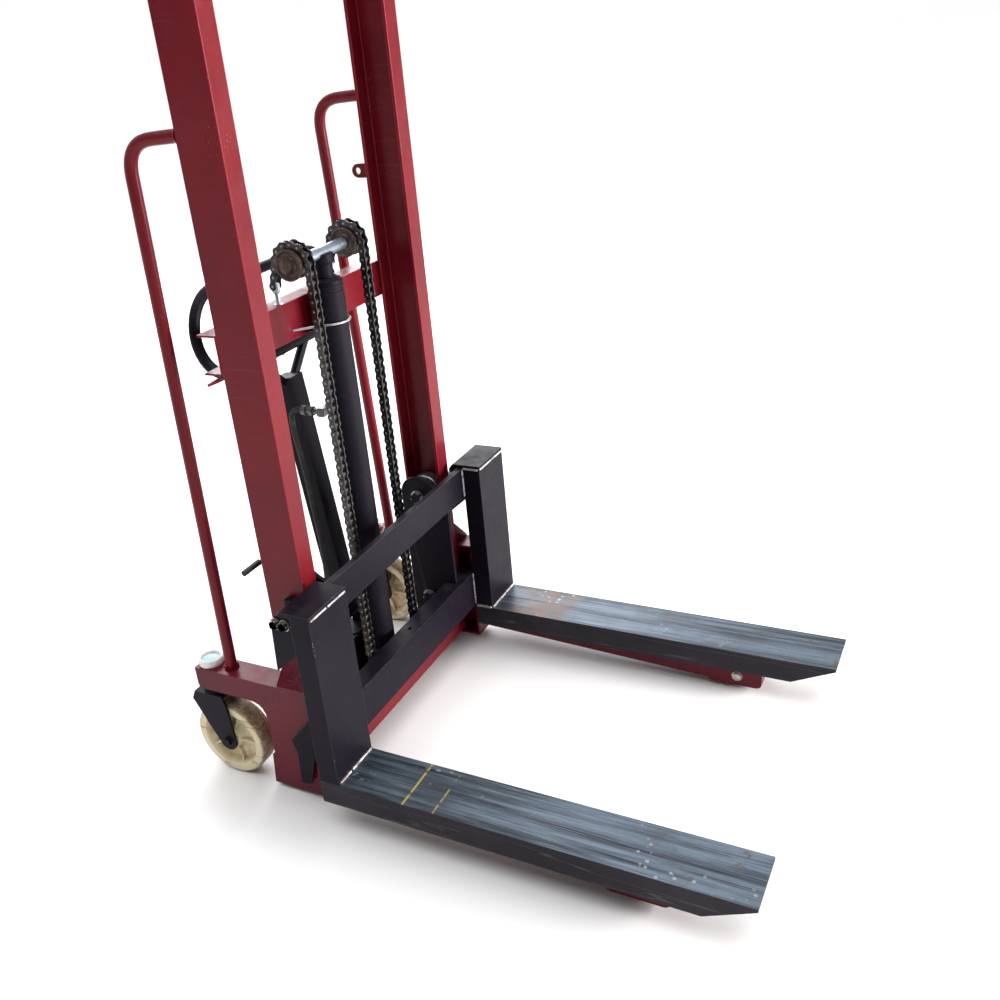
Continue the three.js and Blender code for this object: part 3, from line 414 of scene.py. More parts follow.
class Form:
    """Collects closed shells, each with a finish number, and becomes one piece."""

    def __init__(self):
        self.points = []
        self.faces = []
        self.marks = []

    def add(self, points, faces, mark=0):
        start = len(self.points)
        self.points += [Vector(point) for point in points]
        self.faces += [[start + i for i in face] for face in faces]
        self.marks += [mark] * len(faces)
        return self

    def turn(self, profile, centre, axis="z", sides=48, mark=0, flip=1):
        """A turned shape. The profile is (radius, distance along the axis) and starts and ends on the axis,
        or closes on itself for a ring."""
        along, one, two = AXES[axis] if isinstance(axis, str) else frame_of(axis)
        ring_shape = profile[0] == profile[-1]
        if ring_shape:
            profile = profile[:-1]
        centre = Vector(centre)
        points, rows = [], []
        for radius, height in profile:
            base = centre + along * height * flip
            if radius < 1e-7:
                rows.append([len(points)] * sides)
                points.append(base)
                continue
            rows.append(list(range(len(points), len(points) + sides)))
            for i in range(sides):
                angle = 2 * math.pi * i / sides
                points.append(base + radius * (one * math.cos(angle) + two * math.sin(angle)))
        faces = []
        pairs = list(zip(rows, rows[1:]))
        if ring_shape:
            pairs.append((rows[-1], rows[0]))
        for low, high in pairs:
            for i in range(sides):
                j = (i + 1) % sides
                face = []
                for corner in (low[i], low[j], high[j], high[i]):
                    if corner not in face:
                        face.append(corner)
                if len(face) > 2:
                    faces.append(face)
        return self.add(points, faces, mark)

    def rod(self, start, end, radius, sides=24, mark=0, round_over=0.0):
        """A round bar between two points with softly broken ends."""
        start, end = Vector(start), Vector(end)
        length = (end - start).length
        soft = round_over or min(radius * 0.12, 0.001)
        return self.turn([(0, 0), (radius - soft, 0), (radius, soft), (radius, length - soft),
                          (radius - soft, length), (0, length)],
                         start, (end - start).normalized(), sides, mark)

    def pipe(self, points, radius, sides=14, mark=0, aspect=1.0):
        """A round section carried along a line of points; radius may be a list."""
        points = [Vector(point) for point in points]
        count = len(points)
        radii = radius if isinstance(radius, list) else [radius] * count
        heading = (points[1] - points[0]).normalized()
        side = heading.orthogonal().normalized()
        made, rows = [], []
        for i, point in enumerate(points):
            before, after = points[max(i - 1, 0)], points[min(i + 1, count - 1)]
            heading = (after - before).normalized()
            side = (side - heading * side.dot(heading)).normalized()
            other = heading.cross(side)
            rows.append(range(len(made), len(made) + sides))
            for k in range(sides):
                angle = 2 * math.pi * k / sides
                made.append(point + radii[i] * (side * math.cos(angle) + other * math.sin(angle) * aspect))
        faces = [[low[k], low[(k + 1) % sides], high[(k + 1) % sides], high[k]]
                 for low, high in zip(rows, rows[1:]) for k in range(sides)]
        faces.append(list(reversed(rows[0])))
        faces.append(list(rows[-1]))
        return self.add(made, faces, mark)

    def prism(self, points, mark=0):
        """A straight-sided solid: the first half of the points is one end, the second half the other."""
        count = len(points) // 2
        faces = [list(range(count)), list(range(2 * count - 1, count - 1, -1))]
        faces += [[k, k + count, (k + 1) % count + count, (k + 1) % count] for k in range(count)]
        return self.add(points, faces, mark)

    def brick(self, low, high, mark=0, soft=0.0008):
        """A block with broken edges."""
        a, b = Vector(low), Vector(high)
        made = bmesh.new()
        fitted = Matrix.Translation((a + b) / 2) @ Matrix.Diagonal((*(b - a), 1))
        bmesh.ops.create_cube(made, size=1, matrix=fitted)
        bmesh.ops.bevel(made, geom=made.edges[:], offset=soft, segments=2, affect="EDGES")
        self.take(made, mark)
        return self

    def take(self, made, mark):
        made.verts.ensure_lookup_table()
        self.add([vert.co.copy() for vert in made.verts],
                 [[vert.index for vert in face.verts] for face in made.faces], mark)
        made.free()

    def hexagon(self, centre, axis, across, height, mark=0, washer=True):
        """A chamfered hexagon head standing along an axis, on its washer."""
        direction = AXES[axis][0] if isinstance(axis, str) else Vector(axis)
        centre = Vector(centre)
        corner = across / math.sqrt(3)
        if washer:
            self.turn([(0, 0), (corner * 1.18, 0), (corner * 1.18, height * 0.18), (0, height * 0.18)],
                      centre, direction, 28, mark)
        self.turn([(0, 0), (corner, 0), (corner, height * 0.86), (corner * 0.84, height), (0, height)],
                  centre, direction, 6, mark)
        return self

    def bead(self, start, end, width, mark=0, seed=0):
        """A weld run of overlapping ripples between two points."""
        start, end = Vector(start), Vector(end)
        draw = random.Random(seed)
        length = (end - start).length
        pitch = width * 0.55
        steps = max(int(length / pitch * 4), 6)
        side = (end - start).normalized().orthogonal().normalized()
        points, radii = [], []
        for i in range(steps + 1):
            share = i / steps
            ripple = abs(math.sin(math.pi * share * length / pitch))
            ends = min(1.0, share * length / width * 1.6 + 0.35, (1 - share) * length / width * 1.6 + 0.35)
            points.append(start.lerp(end, share) + side * draw.uniform(-0.07, 0.07) * width)
            radii.append(width * 0.5 * ends * (0.74 + 0.26 * ripple + draw.uniform(-0.05, 0.05)))
        return self.pipe(points, radii, 9, mark)

    def make(self, name, body, finishes, nodes=(), sharp=38, edge=0.0):
        mesh = bpy.data.meshes.new(name)
        mesh.from_pydata([tuple(point) for point in self.points], [], self.faces)
        mesh.polygons.foreach_set("material_index", self.marks)
        tidy = bmesh.new()
        tidy.from_mesh(mesh)
        bmesh.ops.recalc_face_normals(tidy, faces=tidy.faces)
        tidy.to_mesh(mesh)
        tidy.free()
        for finish in finishes:
            mesh.materials.append(finish)
        return dress(name, mesh, body, nodes, sharp, edge)


def frame_of(direction):
    along = Vector(direction).normalized()
    one = along.orthogonal().normalized()
    return along, one, along.cross(one)


def dress(name, mesh, body, nodes=(), sharp=38, edge=0.0, edge_highlight_finish=0):
    """Gives a mesh its shading, soft edges, place in the scene and the body it rides on."""
    mesh.polygons.foreach_set("use_smooth", [True] * len(mesh.polygons))
    mesh.set_sharp_from_angle(angle=math.radians(sharp))
    piece = bpy.data.objects.new(name, mesh)
    bpy.context.scene.collection.objects.link(piece)
    if edge:
        soften = piece.modifiers.new("soft_edges", "BEVEL")
        soften.width = edge
        soften.segments = 2
        soften.limit_method = "ANGLE"
        soften.angle_limit = math.radians(30)
        soften.harden_normals = True
        # the bevel faces take the edge finish, which paints a highlight along each edge
        soften.material = edge_highlight_finish if edge_highlight_finish else -1
        soften.use_clamp_overlap = True
    if body:
        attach(piece, body)
    if nodes:
        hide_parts(*nodes)
    return piece


def finished(node, finish, edge=0.0012, edge_highlight_finish=None, sharp=30):
    """A visible copy of a CAD node with flat faces made whole and its edges broken."""
    made = bmesh.new()
    made.from_mesh(frame["nodes"][node].data)
    bmesh.ops.remove_doubles(made, verts=made.verts[:], dist=1e-6)
    bmesh.ops.dissolve_limit(made, angle_limit=math.radians(0.6), verts=made.verts[:], edges=made.edges[:])
    bmesh.ops.recalc_face_normals(made, faces=made.faces)
    mesh = bpy.data.meshes.new(f"{node}_made")
    made.to_mesh(mesh)
    made.free()
    mesh.materials.clear()
    mesh.materials.append(finish)
    if edge_highlight_finish:
        mesh.materials.append(edge_highlight_finish)
    mesh.polygons.foreach_set("material_index", [0] * len(mesh.polygons))
    return dress(f"{node}_made", mesh, BODY_OF[node], (node,), sharp, edge,
                 1 if edge_highlight_finish else 0)


def rounded(points, corner, per_corner=8):
    """Straight runs whose corners are rounded off."""
    points = [Vector(point) for point in points]
    path = [points[0]]
    for before, here, after in zip(points, points[1:], points[2:]):
        room = min(corner, (here - before).length * 0.49, (after - here).length * 0.49)
        start = here + (before - here).normalized() * room
        end = here + (after - here).normalized() * room
        for i in range(per_corner + 1):
            t = i / per_corner
            path.append(start * (1 - t) ** 2 + here * 2 * t * (1 - t) + end * t ** 2)
    path.append(points[-1])
    return path


def flowing(points, per_span=8):
    """A smooth line through every point."""
    points = [Vector(point) for point in points]
    guide = [points[0] * 2 - points[1], *points, points[-1] * 2 - points[-2]]
    path = []
    for a, b, c, d in zip(guide, guide[1:], guide[2:], guide[3:]):
        for i in range(per_span):
            t = i / per_span
            path.append(0.5 * (2 * b + (c - a) * t + (2 * a - 5 * b + 4 * c - d) * t ** 2
                               + (3 * b - a - 3 * c + d) * t ** 3))
    path.append(points[-1])
    return path


def middle(node):
    low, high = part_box(node)
    return (low + high) / 2


# ---- Mast, beams and base ----------------------------------------------------------------------

def make_mast():
    for name, _ in SIDES:
        finished(f"mast_channel_{name}", RED, 0.0022, RED_EDGE_HIGHLIGHT)
        finished(f"base_side_{name}", DEEP_RED, 0.0014, RED_EDGE_HIGHLIGHT)
        finished(f"outrigger_leg_{name}", DEEP_RED, 0.0012, RED_EDGE_HIGHLIGHT)
    for node in ("top_beam", "mid_beam", "base_crossmember"):
        finished(node, RED, 0.0014, RED_EDGE_HIGHLIGHT)


def make_hoops():
    for name, side in SIDES:
        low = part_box(f"guard_hoop_{name}")[0]
        foot = (side * 0.350, 0.524, low.z)
        knee = (side * 0.310, 0.534, 1.398)
        weld = (side * 0.306, low.y, 1.402)
        form = Form()
        form.pipe(rounded([foot, knee, weld], 0.095, 14), 0.013, 24)
        ring = 0.0145
        steps = 30
        for i in range(0, steps, 2):
            ends = []
            for angle in (2 * math.pi * i / steps, 2 * math.pi * (i + 1) / steps + 0.12):
                x, y = foot[0] + ring * math.cos(angle), foot[1] + ring * math.sin(angle)
                ends.append((x, y, low.z + 0.002))
            form.bead(*ends, 0.007, 1 if i < 10 else 0, i)
        form.turn([(0.0125, 0), (0.0185, 0.0005), (0.0168, 0.0045), (0.0125, 0.007), (0.0125, 0)],
                  (weld[0], low.y + 0.0005, weld[2]), "y", 28)
        form.make(f"guard_hoop_{name}_made", "frame", [RED, WELD], (f"guard_hoop_{name}",), 50)


def make_legs_and_rollers():
    for name, side in SIDES:
        low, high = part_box(f"load_roller_{name}")
        centre = (low + high) / 2
        radius = (high.z - low.z) / 2
        half = (high.x - low.x) / 2
        bore = 0.0096
        form = Form()
        form.turn([(bore, -half), (0.016, -half), (0.017, -half + 0.002), (0.026, -half + 0.002),
                   (0.027, -half), (radius - 0.003, -half), (radius - 0.001, -half + 0.0012),
                   (radius, -half + 0.004), (radius, half - 0.004), (radius - 0.001, half - 0.0012),
                   (radius - 0.003, half), (0.027, half), (0.026, half - 0.002), (0.017, half - 0.002),
                   (0.016, half), (bore, half), (bore, -half)], centre, "x", 48)
        tread = nylon_finish(f"roller_nylon_{name}", tuple(centre), radius)
        form.make(f"load_roller_{name}_made", f"load_roller_{name}", [tread],
                  (f"load_roller_{name}",))
        low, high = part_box(f"load_roller_axle_{name}")
        place = Vector((0, centre.y, centre.z))
        inner, outer = sorted((low.x, high.x), key=abs)
        form = Form()
        form.rod(place + Vector((inner + side * 0.004, 0, 0)), place + Vector((outer - side * 0.002, 0, 0)),
                 0.008, 24)
        form.hexagon(place + Vector((side * 0.4023, 0, 0)), (side, 0, 0), 0.019, 0.0066)
        form.hexagon(place + Vector((side * 0.3217, 0, 0)), (-side, 0, 0), 0.019, 0.0066)
        form.make(f"load_roller_axle_{name}_made", "frame", [BOLT_STEEL],
                  (f"load_roller_axle_{name}",))


# ---- Casters -----------------------------------------------------------------------------------

def make_casters():
    for name, side in SIDES:
        low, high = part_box(f"caster_cap_{name}")
        centre = Vector(((low.x + high.x) / 2, (low.y + high.y) / 2, low.z))
        form = Form()
        form.turn([(0, 0.001), (0.0205, 0.001), (0.0205, 0.0125), (0.0218, 0.0145), (0.0240, 0.016),
                   (0.0264, 0.0148), (0.0282, 0.011), (0.029, 0.004), (0.0282, 0), (0, 0)], centre, "z", 56)
        form.turn([(0, 0.0014), (0.0203, 0.0014), (0.0203, 0.0112), (0.0185, 0.0116), (0.008, 0.0128),
                   (0, 0.0132)], centre, "z", 48, 1)
        form.make(f"caster_cap_{name}_made", "frame", [WHITE, BLUE],
                  (f"caster_cap_{name}",), 30)
        finished(f"caster_fork_{name}", BLACK, 0.0009, BLACK_EDGE_HIGHLIGHT)
        make_caster_wheel(name)


def make_caster_wheel(name):
    node = f"caster_wheel_{name}"
    low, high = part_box(node)
    centre = (low + high) / 2
    radius = (high.z - low.z) / 2
    half = (high.x - low.x) / 2
    web, hub, rim, bore = 0.006, 0.025, 0.070, 0.0079
    form = Form()
    side_profile = [(bore, half), (hub - 0.008, half), (hub - 0.007, half - 0.002),
                    (hub - 0.003, half - 0.002), (hub - 0.001, half - 0.0035), (hub, half - 0.008),
                    (hub + 0.003, web + 0.004), (hub + 0.007, web), (rim - 0.007, web),
                    (rim - 0.003, web + 0.005), (rim - 0.001, half - 0.006),
                    (rim + 0.001, half - 0.0015), (rim + 0.003, half), (radius - 0.006, half),
                    (radius - 0.0025, half - 0.0015), (radius - 0.0007, half - 0.005), (radius, half - 0.011)]
    profile = [(r, -h) for r, h in side_profile] + [(r, h) for r, h in reversed(side_profile)]
    form.turn(profile + [profile[0]], centre, "x", 72)
    ribs = 5
    for i in range(ribs):
        angle = 2 * math.pi * i / ribs + 0.4
        out = Vector((0, -math.sin(angle), math.cos(angle)))
        across = Vector((0, math.cos(angle), math.sin(angle)))
        for face in (-1, 1):
            outline = [(hub - 0.002, web - 0.002), (hub - 0.002, half - 0.0065), (hub + 0.010, half - 0.0105),
                       (rim - 0.010, half - 0.0105), (rim + 0.001, half - 0.0065), (rim + 0.001, web - 0.002)]
            root, crest = 0.0030, 0.0021
            points = [centre + out * r + Vector((face * h, 0, 0)) + across * t * (root if h < web else crest)
                      for t in (-1, 1) for r, h in outline]
            form.prism(points)
    nylon = nylon_finish(f"wheel_nylon_{name}", tuple(centre), radius)
    form.make(f"{node}_made", f"wheel_{name}", [nylon], (node,), 32)


# ---- Cylinder, ram and chains ------------------------------------------------------------------

def make_cylinder():
    low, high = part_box("cylinder_barrel")
    y = middle("lift_ram").y
    r = 0.0365
    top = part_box("cylinder_gland")[0].z - 0.0003
    form = Form()
    form.turn([(0, low.z), (r + 0.006, low.z), (r + 0.006, low.z + 0.0165), (r + 0.0045, low.z + 0.018),
               (r + 0.0005, low.z + 0.0195), (r, low.z + 0.022), (r, top - 0.001), (r - 0.001, top),
               (0.028, top),
               (0.028, top - 0.05), (0, top - 0.05)], (0, y, 0), "z", 72)
    form.turn([(0, 0), (0.009, 0), (0.0095, 0.001), (0.0095, 0.0125), (0.0088, 0.0139), (0, 0.0139)],
              (-r + 0.008, y + 0.018, 0.791), (-1, 0, 0), 32)
    form.turn([(0.0085, 0), (0.0125, 0.0005), (0.0108, 0.0045), (0.0088, 0.006), (0.0085, 0)],
              (-r + 0.0035, y + 0.018, 0.791), (-1, 0, 0), 32, 1)
    form.rod((-r + 0.006, y, 0.872), (-r - 0.0045, y, 0.872), 0.004, 20, 2)
    form.hexagon((-r - 0.0005, y, 0.872), (-1, 0, 0), 0.010, 0.0045, 2, False)
    form.make("cylinder_barrel_made", "frame", [BLACK, WELD, BOLT_STEEL], ("cylinder_barrel",))

    low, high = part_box("cylinder_gland")
    flat = high.z - 0.011
    bore = 0.0204
    form = Form()
    form.turn([(bore, low.z), (r - 0.001, low.z), (r - 0.001, low.z + 0.006), (r + 0.0005, low.z + 0.0075),
               (r + 0.0005, flat - 0.006), (r - 0.0008, flat - 0.005), (r - 0.0008, flat - 0.0035),
               (r + 0.0005, flat - 0.0025), (r, flat + 0.001), (r - 0.0015, flat + 0.0042),
               (r - 0.006, flat + 0.0075),
               (r - 0.012, flat + 0.0098), (bore + 0.004, flat + 0.011), (bore + 0.003, flat + 0.0095),
               (bore, flat + 0.009), (bore, low.z)], (0, y, 0), "z", 72)
    form.make("cylinder_gland_made", "frame", [BLACK], ("cylinder_gland",), 28)

    low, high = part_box("cylinder_clamp")
    z = (low.z + high.z) / 2
    wrap = r + 0.0042
    points = [(-0.084, high.y, z), (-0.068, 0.386, z), (-0.052, y + 0.009, z)]
    for i in range(9):
        angle = math.pi * (1.12 + 0.82 * i / 8)
        points.append((wrap * math.cos(angle), y + wrap * math.sin(angle), z))
    points += [(wrap + 0.001, y + 0.014, z), (0.046, high.y, z)]
    form = Form()
    form.pipe(flowing(points, 6), 0.0025, 14)
    form.make("cylinder_clamp_made", "frame", [STEEL], ("cylinder_clamp",), 60)

    low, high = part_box("lift_ram")
    axle = middle("crosshead_axle")
    form = Form()
    form.turn([(0, low.z), (0.0195, low.z), (0.02, low.z + 0.0005), (0.02, axle.z - 0.0245),
               (0.0218, axle.z - 0.0238), (0.0235, axle.z - 0.022), (0.024, axle.z - 0.0195),
               (0.024, axle.z - 0.0045),
               (0.0234, axle.z - 0.0028), (0.0222, axle.z - 0.002), (0, axle.z - 0.002)], (0, y, 0), "z", 64)
    form.make("lift_ram_made", "ram", [BLACK], ("lift_ram",))

    low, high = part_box("crosshead_axle")
    form = Form()
    form.rod((low.x + 0.002, axle.y, axle.z), (high.x - 0.002, axle.y, axle.z), 0.0125, 48)
    collar = [(0, 0), (0.0168, 0), (0.0175, 0.0008), (0.0175, 0.0030), (0.0162, 0.0040), (0.0085, 0.0040),
              (0.0078, 0.0034), (0, 0.0034)]
    form.turn(collar, (low.x + 0.004, axle.y, axle.z), (-1, 0, 0), 48, 1)
    form.turn(collar, (high.x - 0.004, axle.y, axle.z), (1, 0, 0), 48, 1)
    form.make("crosshead_axle_made", "ram", [AXLE_STEEL, HUB], ("crosshead_axle",))


PITCH = 0.01905
PITCHES = 13
PITCH_R = PITCH / 2 / math.sin(math.pi / PITCHES)


def plate_outline(length, radius, waist):
    """A chain plate: two round ends with a drawn-in waist, along the first axis."""
    outline = []
    steps = 9
    for i in range(steps + 1):
        angle = -math.pi * 0.5 + math.pi * i / steps
        outline.append((length / 2 + radius * math.cos(angle), radius * math.sin(angle)))
    outline.append((0, waist))
    for i in range(steps + 1):
        angle = math.pi * 0.5 + math.pi * i / steps
        outline.append((-length / 2 + radius * math.cos(angle), radius * math.sin(angle)))
    outline.append((0, -waist))
    return outline


def lay_chain(form, pins, start=0):
    """Roller chain through a row of pin centres, with inner and outer plates in turn."""
    shape = plate_outline(PITCH, 0.0086, 0.0064)
    for i, pin in enumerate(pins):
        pin = Vector(pin)
        form.turn([(0, -0.0062), (0.0055, -0.0062), (0.0059, -0.0055), (0.0059, 0.0055), (0.0055, 0.0062),
                   (0, 0.0062)], pin, "x", 14)
        form.turn([(0, -0.0105), (0.0022, -0.0104), (0.0034, -0.0099), (0.0037, -0.0088), (0.0037, 0.0088),
                   (0.0034, 0.0099), (0.0022, 0.0104), (0, 0.0105)], pin, "x", 12, 1)
        if i + 1 == len(pins):
            break
        nxt = Vector(pins[i + 1])
        along = (nxt - pin).normalized()
        over = Vector((1, 0, 0)).cross(along)
        mid = (pin + nxt) / 2
        outer = (i + start) % 2 == 0
        for face in (-1, 1):
            inside = 0.0084 if outer else 0.0063
            points = [mid + along * a + over * b + Vector((face * (inside + t), 0, 0))
                      for t in (0, 0.0018) for a, b in shape]
            form.prism(points)


def make_chains():
    axle = middle("crosshead_axle")
    for name, side in SIDES:
        x = middle(f"chain_pulley_{name}").x
        front = axle.y - PITCH_R
        wrap = []
        for i in range(7):
            angle = math.pi - i * 2 * math.pi / PITCHES
            wrap.append(Vector((x, axle.y + PITCH_R * math.cos(angle), axle.z + PITCH_R * math.sin(angle))))
        form = Form()
        lay_chain(form, wrap)
        form.make(f"chain_wrap_{name}_made", "ram", [CHAIN, PIN], (f"chain_wrap_{name}",), 45)

        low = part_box(f"chain_front_{name}")[0]
        count = int((axle.z - (low.z - 0.012)) / PITCH)
        form = Form()
        lay_chain(form, [(x, front, axle.z - PITCH * i) for i in range(count + 1)], 1)
        run = form.make(f"chain_front_{name}_made", "ram", [CHAIN, PIN],
                        (f"chain_front_{name}",), 45)
        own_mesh(run)

        fixed = Vector((x, middle(f"chain_anchor_{name}").y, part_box(f"chain_anchor_{name}")[1].z - 0.006))
        form = Form()
        lay_chain(form, [wrap[-1].lerp(fixed, i / 3) for i in range(4)])
        run = form.make(f"chain_rear_{name}_made", None, [CHAIN, PIN],
                        (f"chain_rear_{name}",), 45)
        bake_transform(run)

        make_pulley(name, side, x, axle)
        make_anchor(name, x, fixed.y)


def make_pulley(name, side, x, axle):
    """A turned pulley with a plain groove, low flanges and a raised hub ring on each face."""
    form = Form()
    form.turn([(0.0128, -0.0160), (0.0172, -0.0160), (0.0182, -0.0150), (0.0192, -0.0138), (0.0262, -0.0138),
               (0.0274, -0.0150), (0.0284, -0.0160), (0.0312, -0.0160), (0.0324, -0.0150), (0.0324, -0.0122),
               (0.0314, -0.0114), (0.0304, -0.0112), (0.0304, 0.0112), (0.0314, 0.0114), (0.0324, 0.0122),
               (0.0324, 0.0180), (0.0312, 0.0190), (0.0284, 0.0190), (0.0274, 0.0178), (0.0262, 0.0164),
               (0.0192, 0.0164), (0.0182, 0.0178), (0.0172, 0.0190), (0.0128, 0.0190), (0.0128, -0.0160)],
              (x, axle.y, axle.z), (side, 0, 0), 72)
    form.make(f"chain_pulley_{name}_made", f"pulley_{name}", [HUB],
              (f"chain_pulley_{name}",), 30)


def make_anchor(name, x, y):
    low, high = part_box(f"chain_anchor_{name}")
    beam_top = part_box("mid_beam")[1].z
    form = Form()
    thread_pitch = 0.0015
    profile = [(0, low.z)]
    turns = int((high.z - 0.020 - low.z) / thread_pitch)
    for i in range(turns):
        profile += [(0.0046, low.z + i * thread_pitch), (0.0054, low.z + (i + 0.5) * thread_pitch)]
    profile += [(0.0046, low.z + turns * thread_pitch), (0, low.z + turns * thread_pitch)]
    form.turn(profile, (x, y, 0), "z", 20)
    form.brick((x - 0.0061, y - 0.008, high.z - 0.022), (x + 0.0061, y + 0.008, high.z), 0, 0.002)
    form.hexagon((x, y, beam_top - 0.017), "z", 0.0115, 0.012, 0, False)
    washer = [(0.006, 0), (0.0095, 0), (0.0095, 0.0012), (0.006, 0.0012), (0.006, 0)]
    form.turn(washer, (x, y, beam_top), "z", 28)
    form.make(f"chain_anchor_{name}_made", "frame", [STEEL], (f"chain_anchor_{name}",), 50)


# ---- Carriage and forks ------------------------------------------------------------------------

def make_carriage():
    for name, side in SIDES:
        finished(f"fork_{name}", FORK, 0.0011, BLACK_EDGE_HIGHLIGHT)
        finished(f"carriage_upright_{name}", BLACK, 0.0014, BLACK_EDGE_HIGHLIGHT)
        finished(f"inner_plate_{name}", BLACK, 0.0010, BLACK_EDGE_HIGHLIGHT)
        finished(f"side_guide_{name}", BLACK, 0.0008, BLACK_EDGE_HIGHLIGHT)
        make_carriage_bolts(name, side)
        make_carriage_welds(name, side)
        for level in ("lower", "upper"):
            make_mast_roller(f"mast_roller_{level}_{name}")
    finished("upper_crossbar", BLACK, 0.0014, BLACK_EDGE_HIGHLIGHT)
    finished("lower_crossbar", BLACK, 0.0014, BLACK_EDGE_HIGHLIGHT)


def make_carriage_bolts(name, side):
    """Zinc heads over the adjusting bolts of the side guide and the stub axles of the inner plate."""
    form = Form()
    bolt_z = 0.459
    for y in (0.309, 0.331):
        form.hexagon((side * 0.3946, y, bolt_z), (side, 0, 0), 0.0194, 0.0104)
    form.make(f"side_guide_bolts_{name}", "carriage", [BOLT_STEEL], (), 35)
    form = Form()
    for node in (f"mast_roller_lower_{name}", f"mast_roller_upper_{name}"):
        place = middle(node)
        form.hexagon((side * 0.2396, place.y, place.z), (-side, 0, 0), 0.0264, 0.0114)
    form.make(f"roller_bolts_{name}", "carriage", [BOLT_STEEL], (), 35)


def make_carriage_welds(name, side):
    low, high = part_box(f"carriage_upright_{name}")
    inner, outer = sorted((low.x, high.x), key=abs)
    top = high.z
    fork_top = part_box(f"fork_{name}")[1].z
    front = low.y
    rear = front + 0.048
    form = Form()
    # bead along the cap plate's front and inner edges, laid in short stops
    seam = front + 0.001
    under = top - 0.009
    runs = [((outer - side * 0.002, seam, under), (outer - side * 0.062, seam, under)),
            ((outer - side * 0.064, seam, under), (inner + side * 0.003, seam, under)),
            ((inner, front + 0.004, top - 0.0095), (inner, rear - 0.002, top - 0.0095))]
    # fillet where the upright stands on its fork
    foot = fork_top + 0.002
    runs += [((outer - side * 0.003, front, foot), (outer - side * 0.050, front, foot)),
             ((outer - side * 0.052, front, foot), (inner + side * 0.002, front, foot)),
             ((inner, front + 0.002, foot), (inner, rear - 0.002, foot))]
    # crossbar ends
    bar_low, bar_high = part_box("upper_crossbar")
    runs.append(((inner, rear + 0.001, bar_low.z + 0.002), (inner, rear + 0.001, bar_high.z - 0.002)))
    bar_low, bar_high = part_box("lower_crossbar")
    runs.append(((inner, rear + 0.001, bar_low.z + 0.002), (inner, rear + 0.001, bar_low.z + 0.095)))
    for i, (start, end) in enumerate(runs):
        start, end = Vector(start), Vector(end)
        for point in (start, end):
            point.x = max(min(point.x, cad_box[1][0] - 0.004), cad_box[0][0] + 0.004)
        form.bead(start, end, 0.0065 if i < 3 else 0.008, 0, 11 * i + (3 if side > 0 else 0))
    form.make(f"carriage_welds_{name}", "carriage", [WELD], (), 60)


def make_mast_roller(node):
    low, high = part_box(node)
    centre = (low + high) / 2
    r = (high.z - low.z) / 2
    half = (high.x - low.x) / 2
    bore = 0.0124
    form = Form()
    form.turn([(bore, -half), (0.021, -half), (0.0215, -half + 0.0015), (0.029, -half + 0.0015),
               (0.0295, -half), (r - 0.002, -half), (r, -half + 0.003), (r, half - 0.003), (r - 0.002, half),
               (0.0295, half),
               (0.029, half - 0.0015), (0.0215, half - 0.0015), (0.021, half), (bore, half), (bore, -half)],
              centre, "x", 56)
    form.make(f"{node}_made", node, [ROLLER_STEEL], (node,), 30)


# ---- Pump, hose, tiller and pedal --------------------------------------------------------------

def make_pump():
    finished("pump_body", BLACK, 0.0012, BLACK_EDGE_HIGHLIGHT)
    finished("pedal_bracket", BLACK, 0.0008, BLACK_EDGE_HIGHLIGHT)
    low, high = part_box("pump_plunger")
    y = (low.y + high.y) / 2
    form = Form()
    form.turn([(0, low.z), (0.0075, low.z), (0.008, low.z + 0.001), (0.008, high.z - 0.011),
               (0.0092, high.z - 0.010),
               (0.0118, high.z - 0.0095), (0.012, high.z - 0.0085), (0.012, high.z - 0.002),
               (0.0105, high.z - 0.0004), (0, high.z)], (0, y, 0), "z", 40)
    form.make("pump_plunger_made", "plunger", [STEEL], ("pump_plunger",))

    low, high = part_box("hose_fitting")
    x = -0.0605
    y = 0.379
    z = 0.791
    form = Form()
    form.rod((-0.0430, y, z), (-0.060, y, z), 0.007, 24)
    form.hexagon((-0.0445, y, z), (-1, 0, 0), 0.020, 0.008, 0, False)
    form.brick((-0.0705, 0.3695, 0.7812), (-0.0512, 0.3892, 0.8010), 0, 0.0022)
    form.rod((x, 0.385, z), (x, high.y, z), 0.007, 24)
    form.hexagon((x, 0.402, z), "y", 0.020, 0.010, 0, False)
    form.turn([(0, 0), (0.0105, 0), (0.011, 0.0006), (0.011, 0.0114), (0.0105, 0.012), (0, 0.012)],
              (x, 0.420, z), "y", 32)
    form.make("hose_fitting_made", "frame", [FITTING], ("hose_fitting",), 35)

    x = -0.0605
    route = [(x, 0.4366, 0.791), (x, 0.445, 0.791), (x, 0.456, 0.786), (x, 0.464, 0.772),
             (-0.0565, 0.468, 0.730),
             (-0.048, 0.464, 0.640), (-0.047, 0.458, 0.540), (-0.048, 0.452, 0.430), (-0.056, 0.452, 0.330),
             (-0.078, 0.458, 0.240), (-0.086, 0.466, 0.190), (-0.080, 0.470, 0.160), (-0.066, 0.470, 0.1505),
             (-0.0523, 0.470, 0.150)]
    path = flowing(route, 5)
    length = sum((b - a).length for a, b in zip(path, path[1:]))
    form = Form()
    form.pipe(path, 0.0065, 18)
    hose = form.make("hydraulic_hose_made", "frame", [RUBBER], ("hydraulic_hose",), 60)


TILLER_FOOT = Vector((0, 0.443, 0.250))
LEAN = math.atan(0.103)
UP_TILLER = Vector((0, math.sin(LEAN), math.cos(LEAN)))
BACK_TILLER = Vector((0, math.cos(LEAN), -math.sin(LEAN)))


def on_tiller(x, back, up):
    return TILLER_FOOT + Vector((x, 0, 0)) + BACK_TILLER * back + UP_TILLER * up


